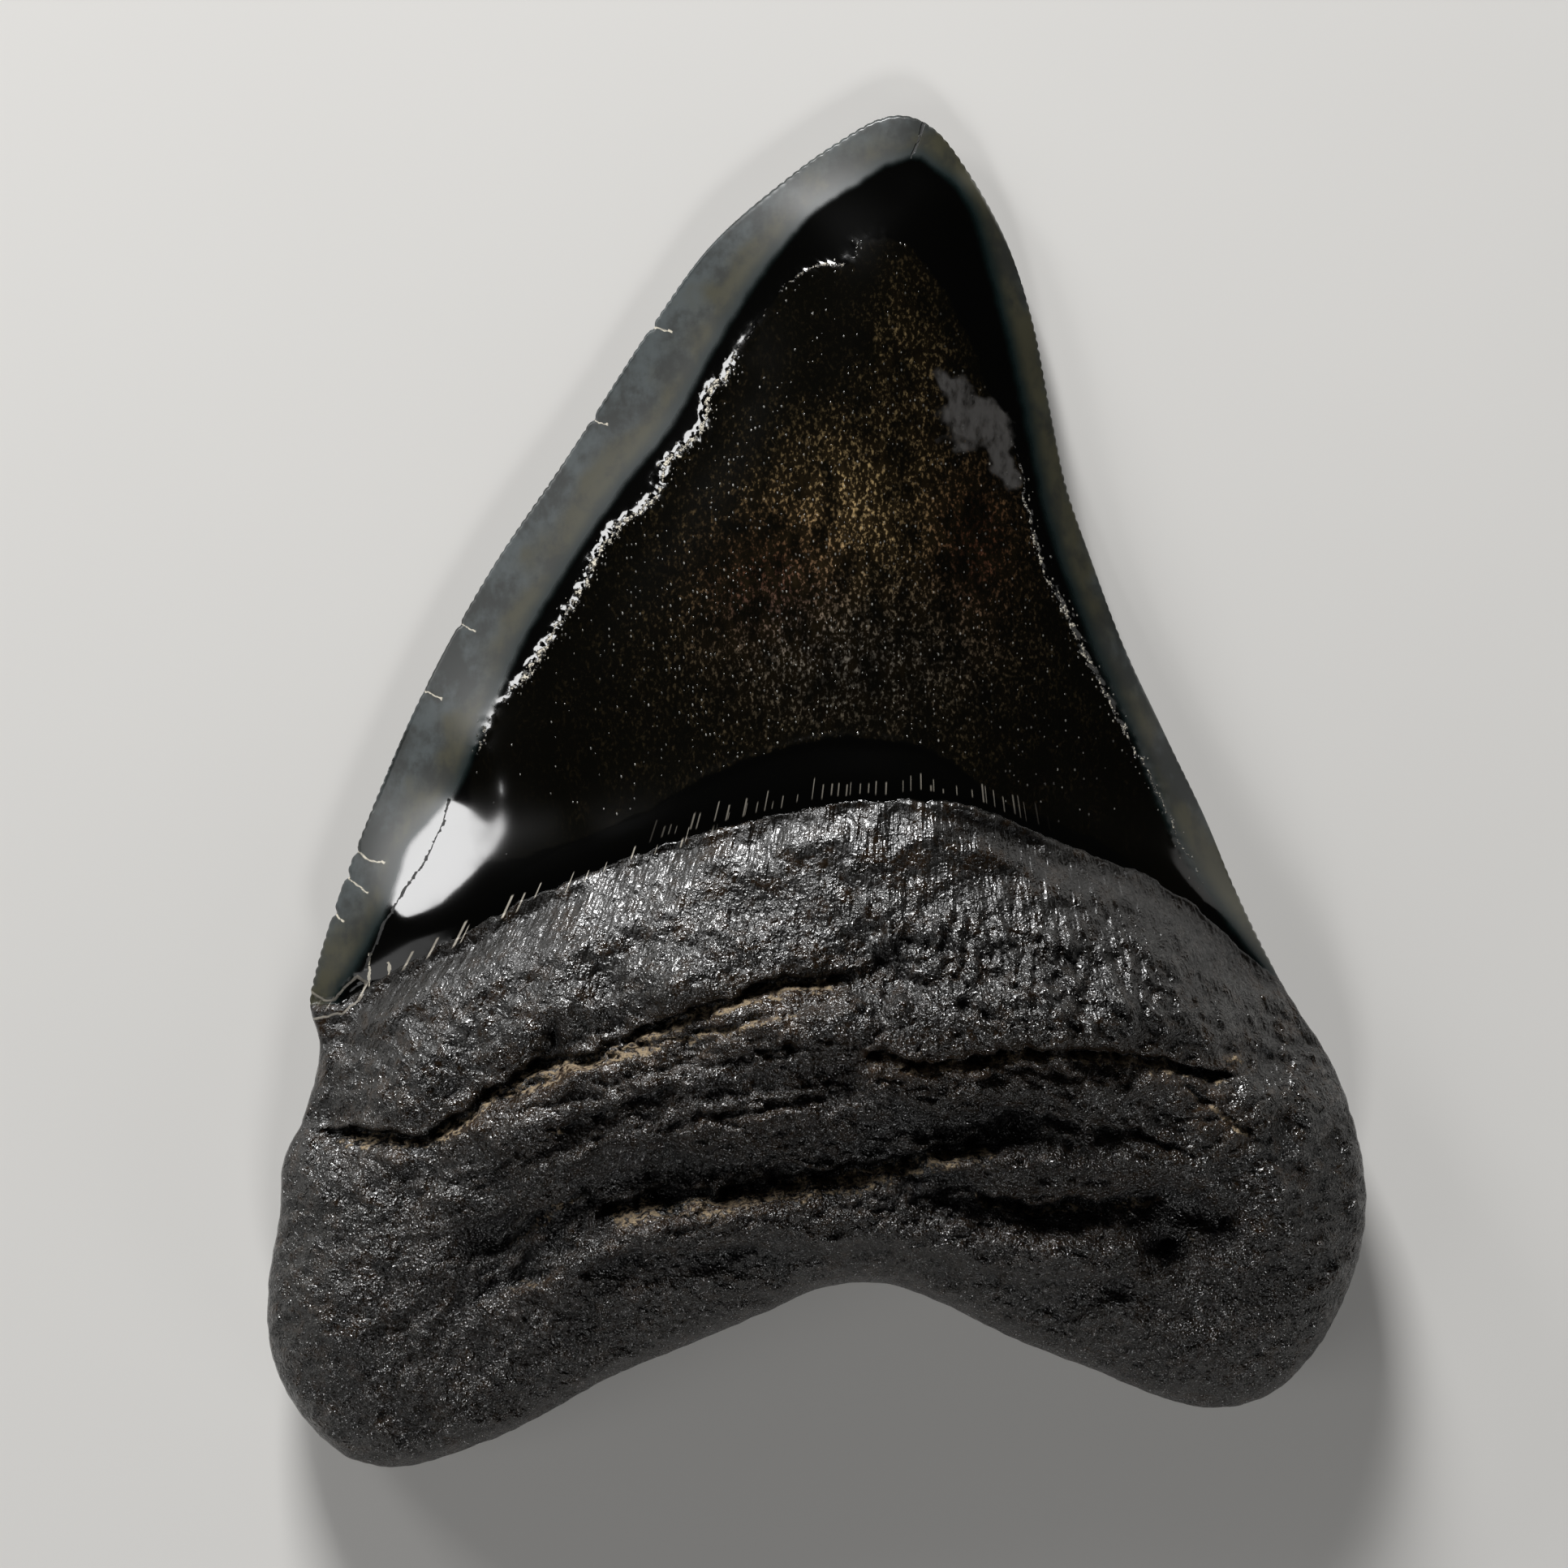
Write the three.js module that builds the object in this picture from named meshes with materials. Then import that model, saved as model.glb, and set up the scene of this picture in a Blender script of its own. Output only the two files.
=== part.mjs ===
// A fossil shark tooth that lies on its flatter face, with its bulging face up.
// It grew as one piece, so it is one closed solid. Sizes are in millimetres.
// +Y runs from the root to the point, +X to the right and +Z up, and the origin lies on the
// resting plane, under the middle of the tooth.

import * as THREE from 'three';

// The rim, where the upper face meets the lower one: [x, y, height], from the point down the left
// side, along the root's hollow and back up the right side.
const leftCuttingEdge = [
  [5.6, 59.0, 2.2], [1.5, 56.7, 2.3], [-2.4, 53.9, 2.4], [-9.2, 47.9, 2.6], [-14.5, 40.7, 2.7],
  [-21.4, 30.0, 2.9], [-28.6, 19.3, 3.2], [-34.5, 8.6, 3.6], [-39.1, -2.0, 4.2],
  [-41.8, -9.2, 4.7], [-43.8, -15.8, 5.3], [-44.3, -18.6, 5.6],
];
const leftRoot = [
  [-43.5, -22.6, 6.0], [-44.9, -28.4, 6.2], [-46.6, -32.2, 6.3], [-47.0, -37.2, 6.4],
  [-47.9, -42.8, 6.4], [-47.9, -47.8, 6.4], [-46.6, -52.0, 6.3], [-44.1, -55.6, 6.2],
];
const rootHollow = [
  [-40.8, -58.3, 6.2], [-36.8, -59.1, 6.3], [-32.3, -58.1, 6.5], [-25.2, -55.2, 7.0],
  [-18.1, -51.2, 7.6], [-11.0, -48.2, 8.0], [-4.0, -45.2, 8.4], [0.6, -43.2, 8.6],
  [5.9, -42.9, 8.6], [10.8, -44.6, 8.4], [17.2, -47.8, 7.9], [24.3, -50.6, 7.3],
  [30.7, -53.2, 6.7], [34.9, -53.9, 6.4], [39.2, -52.9, 6.2],
];
const rightRoot = [
  [42.7, -50.0, 6.2], [45.6, -45.4, 6.3], [47.5, -40.2, 6.4], [48.0, -35.1, 6.4],
  [46.9, -28.7, 6.4], [44.8, -23.3, 6.2], [42.4, -19.5, 5.9],
];
const rightCuttingEdge = [
  [40.0, -15.6, 5.5], [36.7, -8.9, 4.8], [33.7, -1.8, 4.3], [30.3, 5.3, 3.9], [27.0, 12.4, 3.6],
  [24.3, 19.5, 3.3], [21.9, 26.6, 3.1], [20.4, 33.7, 2.9], [19.0, 40.9, 2.7], [16.7, 48.0, 2.5],
  [13.3, 54.3, 2.3], [10.4, 58.0, 2.2], [8.0, 59.2, 2.2],
];

// Places that the smooth form of the upper face passes through: [x, y, height].
const bevelTop = [
  [-39.6, -16.8, 8.3], [-37.3, -9.9, 7.6], [-32.1, -0.7, 6.9], [-27.6, 9.9, 6.1],
  [-22.1, 19.5, 5.5], [-12.9, 33.0, 5.0], [-7.6, 41.3, 4.7], [-1.4, 50.3, 4.5], [4.4, 54.4, 4.4],
  [8.3, 55.7, 4.3], [12.4, 52.6, 4.1], [15.4, 44.4, 4.0], [18.0, 35.0, 4.1], [21.0, 22.3, 4.5],
  [23.7, 13.9, 4.9], [28.0, 4.8, 5.4], [31.8, -4.8, 6.0], [36.6, -12.3, 6.6],
];
const crownForm = [
  [7.0, 51.3, 5.9], [6.0, 44.1, 7.8], [4.8, 33.4, 10.6], [3.7, 22.7, 13.1], [3.7, 12.2, 15.4],
  [4.3, 4.5, 17.3], [-7.5, 26.4, 9.4], [-14.5, 12.3, 10.6], [-22.3, -0.7, 10.8],
  [13.3, 26.4, 9.3], [17.5, 12.3, 10.9], [23.8, 1.7, 11.4],
];
const crownFoot = [
  [-40.0, -17.0, 8.0], [-34.2, -13.4, 10.5], [-27.1, -9.9, 12.5], [-18.6, -6.3, 15.0],
  [-10.9, -4.2, 17.0], [-3.9, -2.0, 18.6], [3.0, -0.9, 19.5], [8.6, -0.9, 19.5],
  [13.9, -2.0, 19.0], [21.1, -4.8, 17.2], [28.3, -7.4, 14.8], [33.8, -11.0, 11.5],
];
const rootForm = [
  [7.8, -14.1, 25.4], [-7.4, -14.2, 23.2], [-21.3, -17.8, 18.8], [-35.5, -22.8, 13.6],
  [20.3, -14.2, 23.4], [30.8, -19.2, 18.4], [39.4, -26.3, 14.2], [6.5, -25.9, 23.6],
  [-10.8, -26.0, 21.0], [-28.4, -33.2, 16.2], [23.8, -29.5, 20.0], [37.9, -35.3, 15.6],
  [-7.4, -36.5, 19.6], [3.0, -36.4, 20.6], [16.9, -39.3, 19.2], [27.4, -42.2, 16.6],
  [-40.4, -40.3, 13.4], [-36.9, -50.9, 12.4], [-24.9, -47.2, 14.6], [34.5, -45.1, 14.4],
  [41.5, -36.8, 14.0],
];

// Ridges (height over 0) and furrows (height under 0) on the upper face: half the width at which
// they fade out, and the line that they follow.
const creases = [
  { height: -1.9, width: 1.7, line: [[-42, -28.8], [-35.4, -29.5], [-29, -26], [-22, -21.9],
    [-13.6, -19.5], [-6.7, -17.6], [0.2, -16.5], [5.4, -15.6]] },
  { height: 1.0, width: 1.5, line: [[-36, -32], [-28, -28.6], [-21, -24.6], [-13, -22.4],
    [-5, -20.4], [2, -19.4]] },
  { height: 0.9, width: 1.3, line: [[-27, -30.4], [-20.6, -27.2], [-14, -25], [-7, -23.6], [-0.5, -22.9]] },
  { height: 0.9, width: 1.4, line: [[-24.6, -32.6], [-17.8, -29.9], [-10.4, -28.4], [-3.8, -27.6],
    [3, -27.4]] },
  { height: -1.6, width: 1.7, line: [[2, -22.6], [4.7, -21.9], [9.9, -23], [15.4, -22.1],
    [23.7, -22.3], [30, -22.5], [37.6, -24.1], [42, -26.6]] },
  { height: 1.0, width: 1.4, line: [[5, -24.6], [10, -26], [15.4, -25.2], [23.7, -25.2], [31, -25.6]] },
  { height: -1.0, width: 1.3, line: [[26.6, -25.8], [30.9, -26.4], [35.8, -28.6], [38.6, -31.2]] },
  { height: -2.5, width: 2.1, line: [[-28, -39.2], [-24.9, -37.2], [-21, -34.8], [-14.3, -33],
    [-7.4, -33.1], [0.9, -31.5], [9.2, -29.7], [16.8, -28.4]] },
  { height: 0.9, width: 1.5, line: [[10, -32], [17, -31.2], [26, -31.6], [33, -32.6]] },
  { height: -2.1, width: 1.8, line: [[10, -34], [16.9, -35.6], [23.1, -35.3], [30.2, -34.8],
    [35, -36.8]] },
  { height: -1.2, width: 1.4, line: [[-28.3, -34.6], [-22, -31], [-16.4, -27.6], [-10.1, -26]] },
  { height: -1.2, width: 1.6, line: [[-31.2, -44.4], [-25.6, -40.8], [-18.5, -37.9]] },
  { height: 1.2, width: 2.0, line: [[-22.1, -41], [-17.1, -38.3], [-7.4, -36.8], [3, -36.8],
    [12, -38.8], [19, -40], [26.7, -39.4]] },
  { height: -1.1, width: 1.5, line: [[-32.9, -30.1], [-34.7, -33.2], [-35.4, -38.1], [-36.2, -42]] },
  { height: -0.9, width: 1.6, line: [[-40, -17.6], [-34.2, -14.2], [-27.1, -10.7], [-18.6, -7.1],
    [-10.9, -5], [-3.9, -2.8], [3, -1.7], [8.6, -1.7], [13.9, -2.8], [21.1, -5.6], [28.3, -8.2],
    [33.8, -11.8], [38.5, -15.6]] },
];

// Lumps and pits on the upper face: [x, y, radius, height].
const lumps = [
  [42.3, -27.0, 2.6, 1.5], [40.6, -28.6, 1.5, -1.2], [45.0, -30.4, 1.4, -1.0],
  [-22.4, -23.2, 2.2, -1.5], [-18.0, -16.2, 2.4, -0.9], [30.4, -39.0, 2.9, -2.3],
  [12.6, -18.6, 1.6, -0.8], [17.2, -18.8, 1.5, -0.7], [-31.0, -54.0, 3.0, 0.8],
  [-41.5, -46.0, 3.2, 0.9], [-29.5, -48.6, 2.6, -0.9], [33.0, -49.0, 2.8, 0.7],
  [39.4, -42.6, 2.4, -0.9], [-43.2, -34.5, 2.2, 0.8], [21.0, -44.0, 2.2, -0.8],
  [-4.0, -41.0, 2.2, -0.8], [-24.0, -36.6, 2.4, 0.8], [8.0, -40.6, 2.0, 0.7],
  [-40.9, -21.4, 1.8, -0.7], [25.0, -18.4, 2.4, 0.6],
];

// How the root's rim is rounded, and how wide the crown's lower face curves up to its edge.
const rootRounding = 9.0;
const rootUnderRounding = 8.0;
const crownUnderRise = 13.0;
const rootBlend = { from: 3.0, to: 9.0 };

// Shallow hollows of the lower face, between the flats that the tooth rests on: [x, y, radius, depth].
const underHollows = [
  [3, -24, 15, 1.6], [-27, -22, 9, 0.9], [30, -22, 8, 0.8], [4, 12, 10, 0.7], [6, 38, 6, 0.5],
];

// The mesh: how finely the rim is divided, and the rings between the rim and the middle.
const middle = [4, -12];
const rimPoints = 216;
const upperRimRings = [0.982, 0.958, 0.926, 0.89];
const upperRingStep = 0.031;
const lowerRings = [0.97, 0.93, 0.875, 0.8, 0.7, 0.58, 0.44, 0.28, 0.12];
const lowerRingShare = 0.55;
const smallestRing = 6;

const clamp01 = (value) => Math.min(1, Math.max(0, value));
const smoothStep = (value) => value * value * (3 - 2 * value);
const mix = (a, b, share) => a + (b - a) * share;
const bell = (distance, width) => Math.exp(-((distance / width) ** 2));

function rimCurve() {
  const points = [leftCuttingEdge, leftRoot, rootHollow, rightRoot, rightCuttingEdge].flat();
  const curve = new THREE.CatmullRomCurve3(points.map((p) => new THREE.Vector3(...p)), true);
  curve.arcLengthDivisions = 3000;
  return curve;
}

function distanceToLine(x, y, line) {
  let nearest = Infinity;
  for (let i = 0; i + 1 < line.length; i += 1) {
    const [ax, ay] = line[i];
    const [bx, by] = line[i + 1];
    const along = clamp01(((x - ax) * (bx - ax) + (y - ay) * (by - ay)) / ((bx - ax) ** 2 + (by - ay) ** 2));
    nearest = Math.min(nearest, Math.hypot(x - mix(ax, bx, along), y - mix(ay, by, along)));
  }
  return nearest;
}

// A thin plate bent smoothly through all the places, as a function of x and y.
function bentPlate(places) {
  const reach = (dx, dy) => {
    const square = dx * dx + dy * dy;
    return square > 0 ? square * Math.log(square) : 0;
  };
  const rows = places.map(([x, y, z]) => [...places.map(([px, py]) => reach(x - px, y - py)), 1, x, y, z]);
  rows.push([...places.map(() => 1), 0, 0, 0, 0]);
  rows.push([...places.map(([x]) => x), 0, 0, 0, 0]);
  rows.push([...places.map(([, y]) => y), 0, 0, 0, 0]);
  const weights = solve(rows);
  const [level, slopeX, slopeY] = weights.slice(-3);
  return (x, y) => places.reduce(
    (sum, [px, py], i) => sum + weights[i] * reach(x - px, y - py),
    level + slopeX * x + slopeY * y,
  );
}

// Gaussian elimination of a square system whose rows end with their right-hand side.
function solve(rows) {
  const count = rows.length;
  for (let c = 0; c < count; c += 1) {
    let best = c;
    for (let r = c; r < count; r += 1) if (Math.abs(rows[r][c]) > Math.abs(rows[best][c])) best = r;
    [rows[c], rows[best]] = [rows[best], rows[c]];
    for (let r = 0; r < count; r += 1) {
      const factor = r === c ? 0 : rows[r][c] / rows[c][c];
      if (factor !== 0) rows[r] = rows[r].map((value, i) => value - factor * rows[c][i]);
    }
  }
  return rows.map((row, i) => row[count] / row[i]);
}

const rim = rimCurve();
const rimSamples = rim.getSpacedPoints(900);
const upperForm = bentPlate([
  ...leftCuttingEdge, ...rightCuttingEdge, ...bevelTop, ...crownForm, ...crownFoot, ...rootForm,
]);
const crownFootLine = [[-52, -19], [-44.3, -18.6], ...crownFoot, [40, -15.6], [52, -15]];

function nearestRim(x, y) {
  let nearest = { distance: Infinity, height: 0 };
  for (const sample of rimSamples) {
    const distance = Math.hypot(x - sample.x, y - sample.y);
    if (distance < nearest.distance) nearest = { distance, height: sample.z };
  }
  return nearest;
}

// 0 on the crown and 1 on the root, blending just below the line where the crown ends.
function rootShare(x, y) {
  const after = Math.max(1, crownFootLine.findIndex(([px]) => px > x));
  const [ax, ay] = crownFootLine[after - 1];
  const [bx, by] = crownFootLine[after];
  const below = mix(ay, by, (x - ax) / (bx - ax)) - y;
  return smoothStep(clamp01((below + rootBlend.from) / (rootBlend.from + rootBlend.to)));
}

function quarterRound(distance, radius) {
  return Math.sqrt(1 - (1 - clamp01(distance / radius)) ** 2);
}

function upperHeight(x, y) {
  const edge = nearestRim(x, y);
  const rounding = mix(1, quarterRound(edge.distance, rootRounding), rootShare(x, y));
  const fade = smoothStep(clamp01(edge.distance / 3));
  const relief = creases.reduce((sum, { height, width, line }) => (
    sum + height * bell(distanceToLine(x, y, line), width)), 0);
  const bumps = lumps.reduce((sum, [lx, ly, radius, height]) => (
    sum + height * bell(Math.hypot(x - lx, y - ly), radius)), 0);
  return edge.height + (upperForm(x, y) - edge.height) * rounding + (relief + bumps) * fade;
}

function lowerHeight(x, y) {
  const edge = nearestRim(x, y);
  const crownRise = (1 - clamp01(edge.distance / crownUnderRise)) ** 2;
  const rootRise = 1 - quarterRound(edge.distance, rootUnderRounding);
  const hollows = underHollows.reduce((sum, [hx, hy, radius, depth]) => (
    sum + depth * (1 - smoothStep(clamp01(Math.hypot(x - hx, y - hy) / radius)))), 0);
  return edge.height * mix(crownRise, rootRise, rootShare(x, y)) + hollows;
}

// The rim's shape drawn smaller around the middle, at the height that the face has there.
function ring(share, count, height) {
  return rim.getSpacedPoints(count).slice(0, count).map((point) => {
    const x = mix(middle[0], point.x, share);
    const y = mix(middle[1], point.y, share);
    return [x, y, share === 1 ? point.z : height(x, y)];
  });
}

// Triangles between two rings that start at the same place, the outer one first. Each step takes
// the shorter of the two possible edges.
function stitch(points, outer, inner) {
  const faces = [];
  const gap = (a, b) => Math.hypot(points[a][0] - points[b][0], points[a][1] - points[b][1]);
  let i = 0;
  let j = 0;
  while (i < outer.length || j < inner.length) {
    const a = outer[i % outer.length];
    const b = inner[j % inner.length];
    const nextOuter = outer[(i + 1) % outer.length];
    const nextInner = inner[(j + 1) % inner.length];
    const outerStep = j === inner.length || (i < outer.length && gap(nextOuter, b) <= gap(a, nextInner));
    faces.push(outerStep ? [a, nextOuter, b] : [a, nextInner, b]);
    if (outerStep) i += 1;
    else j += 1;
  }
  return faces;
}

// One face of the tooth, as rings from the rim to the middle.
function face(points, rimIndices, shares, pointShare, height) {
  const faces = [];
  let outer = rimIndices;
  for (const share of shares) {
    const count = Math.max(smallestRing, Math.round(rimPoints * share * pointShare(share)));
    const inner = ring(share, count, height).map((point) => points.push(point) - 1);
    faces.push(...stitch(points, outer, inner));
    outer = inner;
  }
  const centre = points.push([...middle, height(...middle)]) - 1;
  outer.forEach((index, i) => faces.push([index, outer[(i + 1) % outer.length], centre]));
  return faces;
}

function upperRings() {
  const evenRings = Math.floor(upperRimRings.at(-1) / upperRingStep - 0.5);
  const even = Array.from({ length: evenRings }, (_, i) => upperRimRings.at(-1) - (i + 1) * upperRingStep);
  return [...upperRimRings, ...even];
}

function toothGeometry() {
  const points = ring(1, rimPoints, upperHeight);
  const rimIndices = points.map((_, i) => i);
  const upper = face(points, rimIndices, upperRings(), () => 1, upperHeight);
  const thinned = (share) => mix(lowerRingShare, 1, clamp01((share - 0.9) * 10));
  const lower = face(points, rimIndices, lowerRings, thinned, lowerHeight);
  const triangles = [...upper, ...lower.map(([a, b, c]) => [a, c, b])];
  const geometry = new THREE.BufferGeometry();
  geometry.setAttribute('position', new THREE.Float32BufferAttribute(points.flat(), 3));
  geometry.setIndex(triangles.flat());
  geometry.computeVertexNormals();
  return geometry;
}

const toothFinish = new THREE.MeshStandardMaterial({ color: 0x35332c, roughness: 0.45, metalness: 0 });

const tooth = new THREE.Mesh(toothGeometry(), toothFinish);
tooth.name = 'tooth';

const model = new THREE.Group();
model.add(tooth);

export default model;
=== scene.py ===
"""A fossil shark tooth on a pale floor: a polished crown, its worn plate and a rough two-lobed root."""

import math
from collections import namedtuple

import bpy
import numpy as np
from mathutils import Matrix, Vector, kdtree, noise


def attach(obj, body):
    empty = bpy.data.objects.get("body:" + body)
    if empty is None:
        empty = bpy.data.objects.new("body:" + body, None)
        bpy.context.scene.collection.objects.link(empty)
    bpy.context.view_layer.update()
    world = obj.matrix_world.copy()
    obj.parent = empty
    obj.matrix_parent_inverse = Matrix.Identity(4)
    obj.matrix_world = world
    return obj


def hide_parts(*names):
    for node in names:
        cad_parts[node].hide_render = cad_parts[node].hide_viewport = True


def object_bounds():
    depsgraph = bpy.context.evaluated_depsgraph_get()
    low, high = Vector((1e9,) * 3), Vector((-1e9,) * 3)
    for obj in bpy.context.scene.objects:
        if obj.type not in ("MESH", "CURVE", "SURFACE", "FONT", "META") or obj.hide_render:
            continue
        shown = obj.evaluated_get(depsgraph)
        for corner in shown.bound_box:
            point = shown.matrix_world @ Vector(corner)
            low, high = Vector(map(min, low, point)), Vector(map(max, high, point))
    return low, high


bl_info = {
    "name": "Fossil shark tooth",
    "version": (1, 0, 0),
    "blender": (4, 5, 0),
    "location": "3D Viewport > Sidebar > Fossil tooth",
    "description": "Builds a fossil shark tooth lying on its flatter face, and the stage around it",
    "category": "Add Mesh",
}

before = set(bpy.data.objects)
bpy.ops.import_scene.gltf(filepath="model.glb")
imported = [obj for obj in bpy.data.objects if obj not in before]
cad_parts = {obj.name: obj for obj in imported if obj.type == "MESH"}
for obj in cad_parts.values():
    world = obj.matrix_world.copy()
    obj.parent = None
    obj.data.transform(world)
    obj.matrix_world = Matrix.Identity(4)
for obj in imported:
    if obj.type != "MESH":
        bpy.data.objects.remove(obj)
CAD_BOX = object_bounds()
MM = 0.001
CAD_BOX_TOP = CAD_BOX[1][2] / MM

# The rim, where the upper face meets the lower one: x, y and height in millimetres.
LEFT_CUTTING_EDGE = [
    (5.6, 59.0, 2.2), (1.5, 56.7, 2.3), (-2.4, 53.9, 2.4), (-9.2, 47.9, 2.6), (-14.5, 40.7, 2.7),
    (-21.4, 30.0, 2.9), (-28.6, 19.3, 3.2), (-34.5, 8.6, 3.6), (-39.1, -2.0, 4.2),
    (-41.8, -9.2, 4.7), (-43.8, -15.8, 5.3), (-44.3, -18.6, 5.6),
]
LEFT_ROOT = [
    (-43.5, -22.6, 6.0), (-44.9, -28.4, 6.2), (-46.6, -32.2, 6.3), (-47.0, -37.2, 6.4),
    (-47.9, -42.8, 6.4), (-47.9, -47.8, 6.4), (-46.6, -52.0, 6.3), (-44.1, -55.6, 6.2),
]
ROOT_HOLLOW = [
    (-40.8, -58.3, 6.2), (-36.8, -59.1, 6.3), (-32.3, -58.1, 6.5), (-25.2, -55.2, 7.0),
    (-18.1, -51.2, 7.6), (-11.0, -48.2, 8.0), (-4.0, -45.2, 8.4), (0.6, -43.2, 8.6),
    (5.9, -42.9, 8.6), (10.8, -44.6, 8.4), (17.2, -47.8, 7.9), (24.3, -50.6, 7.3),
    (30.7, -53.2, 6.7), (34.9, -53.9, 6.4), (39.2, -52.9, 6.2),
]
RIGHT_ROOT = [
    (42.7, -50.0, 6.2), (45.6, -45.4, 6.3), (47.5, -40.2, 6.4), (48.0, -35.1, 6.4),
    (46.9, -28.7, 6.4), (44.8, -23.3, 6.2), (42.4, -19.5, 5.9),
]
RIGHT_CUTTING_EDGE = [
    (40.0, -15.6, 5.5), (36.7, -8.9, 4.8), (33.7, -1.8, 4.3), (30.3, 5.3, 3.9), (27.0, 12.4, 3.6),
    (24.3, 19.5, 3.3), (21.9, 26.6, 3.1), (20.4, 33.7, 2.9), (19.0, 40.9, 2.7), (16.7, 48.0, 2.5),
    (13.3, 54.3, 2.3), (10.4, 58.0, 2.2), (8.0, 59.2, 2.2),
]

# Places that the smooth form of the upper face passes through: x, y and height in millimetres.
BEVEL_TOP = [
    (-39.6, -16.8, 8.3), (-37.3, -9.9, 8.05), (-32.1, -0.7, 6.87), (-27.6, 9.9, 6.1),
    (-22.1, 19.5, 5.5), (-12.9, 33.0, 5.0), (-7.6, 41.3, 4.6), (-1.4, 50.3, 3.95), (4.4, 54.4, 3.4),
    (8.3, 55.7, 3.2), (12.4, 52.6, 3.9), (15.4, 44.4, 4.0), (18.0, 35.0, 4.1), (21.0, 22.3, 4.7),
    (23.7, 13.9, 5.3), (28.0, 4.8, 6.2), (31.8, -4.8, 7.6), (36.6, -12.3, 7.8),
]
CROWN_FORM = [
    (7.0, 51.3, 4.75), (6.0, 44.1, 7.5), (4.8, 33.4, 10.6), (3.7, 22.7, 13.1), (3.7, 12.2, 15.4),
    (4.3, 4.5, 17.3), (-7.5, 26.4, 9.4), (-14.5, 12.3, 10.6), (-22.3, -0.7, 10.8),
    (-27.2, -0.4, 9.7), (-29.4, 0.6, 8.06), (-28.4, 3.2, 8.06), (13.3, 26.4, 8.9), (17.5, 12.3, 10.3),
    (23.8, 1.7, 10.0),
]

# The flat facet low on the left of the crown: a place on it, its rise along x and y, and where it reaches.
FACET_AT = (-32.0, -5.2, 8.9)
FACET_SLOPE = (0.544, -0.44)
FACET_PLACES = [
    (-36.4, -9.4), (-35.2, -6.6), (-33.9, -4.0), (-32.6, -1.9), (-34.2, -7.6), (-33.0, -5.2), (-31.8, -3.2),
    (-30.8, -2.4), (-29.6, -4.2), (-27.4, -4.0), (-31.0, -6.4), (-28.8, -5.6), (-32.6, -8.6), (-34.6, -10.0),
    (-36.4, -11.2), (-28.8, -2.8), (-30.6, -1.6),
]

# Places of the crown's foot and of the root's smooth form.
CROWN_FOOT = [
    (-40.0, -17.0, 8.2), (-34.2, -13.4, 10.8), (-27.1, -9.9, 12.9), (-18.6, -6.3, 14.4),
    (-10.9, -4.2, 16.5), (-3.9, -2.0, 18.3), (3.0, -0.9, 19.4), (8.6, -0.9, 19.4),
    (13.9, -2.0, 18.4), (21.1, -4.8, 15.4), (28.3, -7.4, 12.0), (33.8, -11.0, 9.9),
]
ROOT_FORM = [
    (7.6, -7.4, 20.8), (-6.5, -8.6, 19.4), (19.5, -9.2, 18.8), (7.8, -14.1, 22.4),
    (-7.4, -14.2, 21.3), (-21.3, -17.8, 18.8), (-35.5, -22.8, 13.6), (20.3, -14.2, 21.6),
    (30.8, -19.2, 18.2), (39.4, -26.3, 14.2), (6.5, -25.9, 23.6),
    (-10.8, -26.0, 21.0), (-28.4, -33.2, 16.2), (23.8, -29.5, 20.0), (37.9, -35.3, 15.6),
    (-7.4, -36.5, 19.6), (3.0, -36.4, 20.6), (16.9, -39.3, 19.2), (27.4, -42.2, 16.6),
    (-40.4, -40.3, 13.4), (-36.9, -50.9, 12.4), (-24.9, -47.2, 14.6), (34.5, -45.1, 14.4),
    (41.5, -36.8, 14.0),
]

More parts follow.
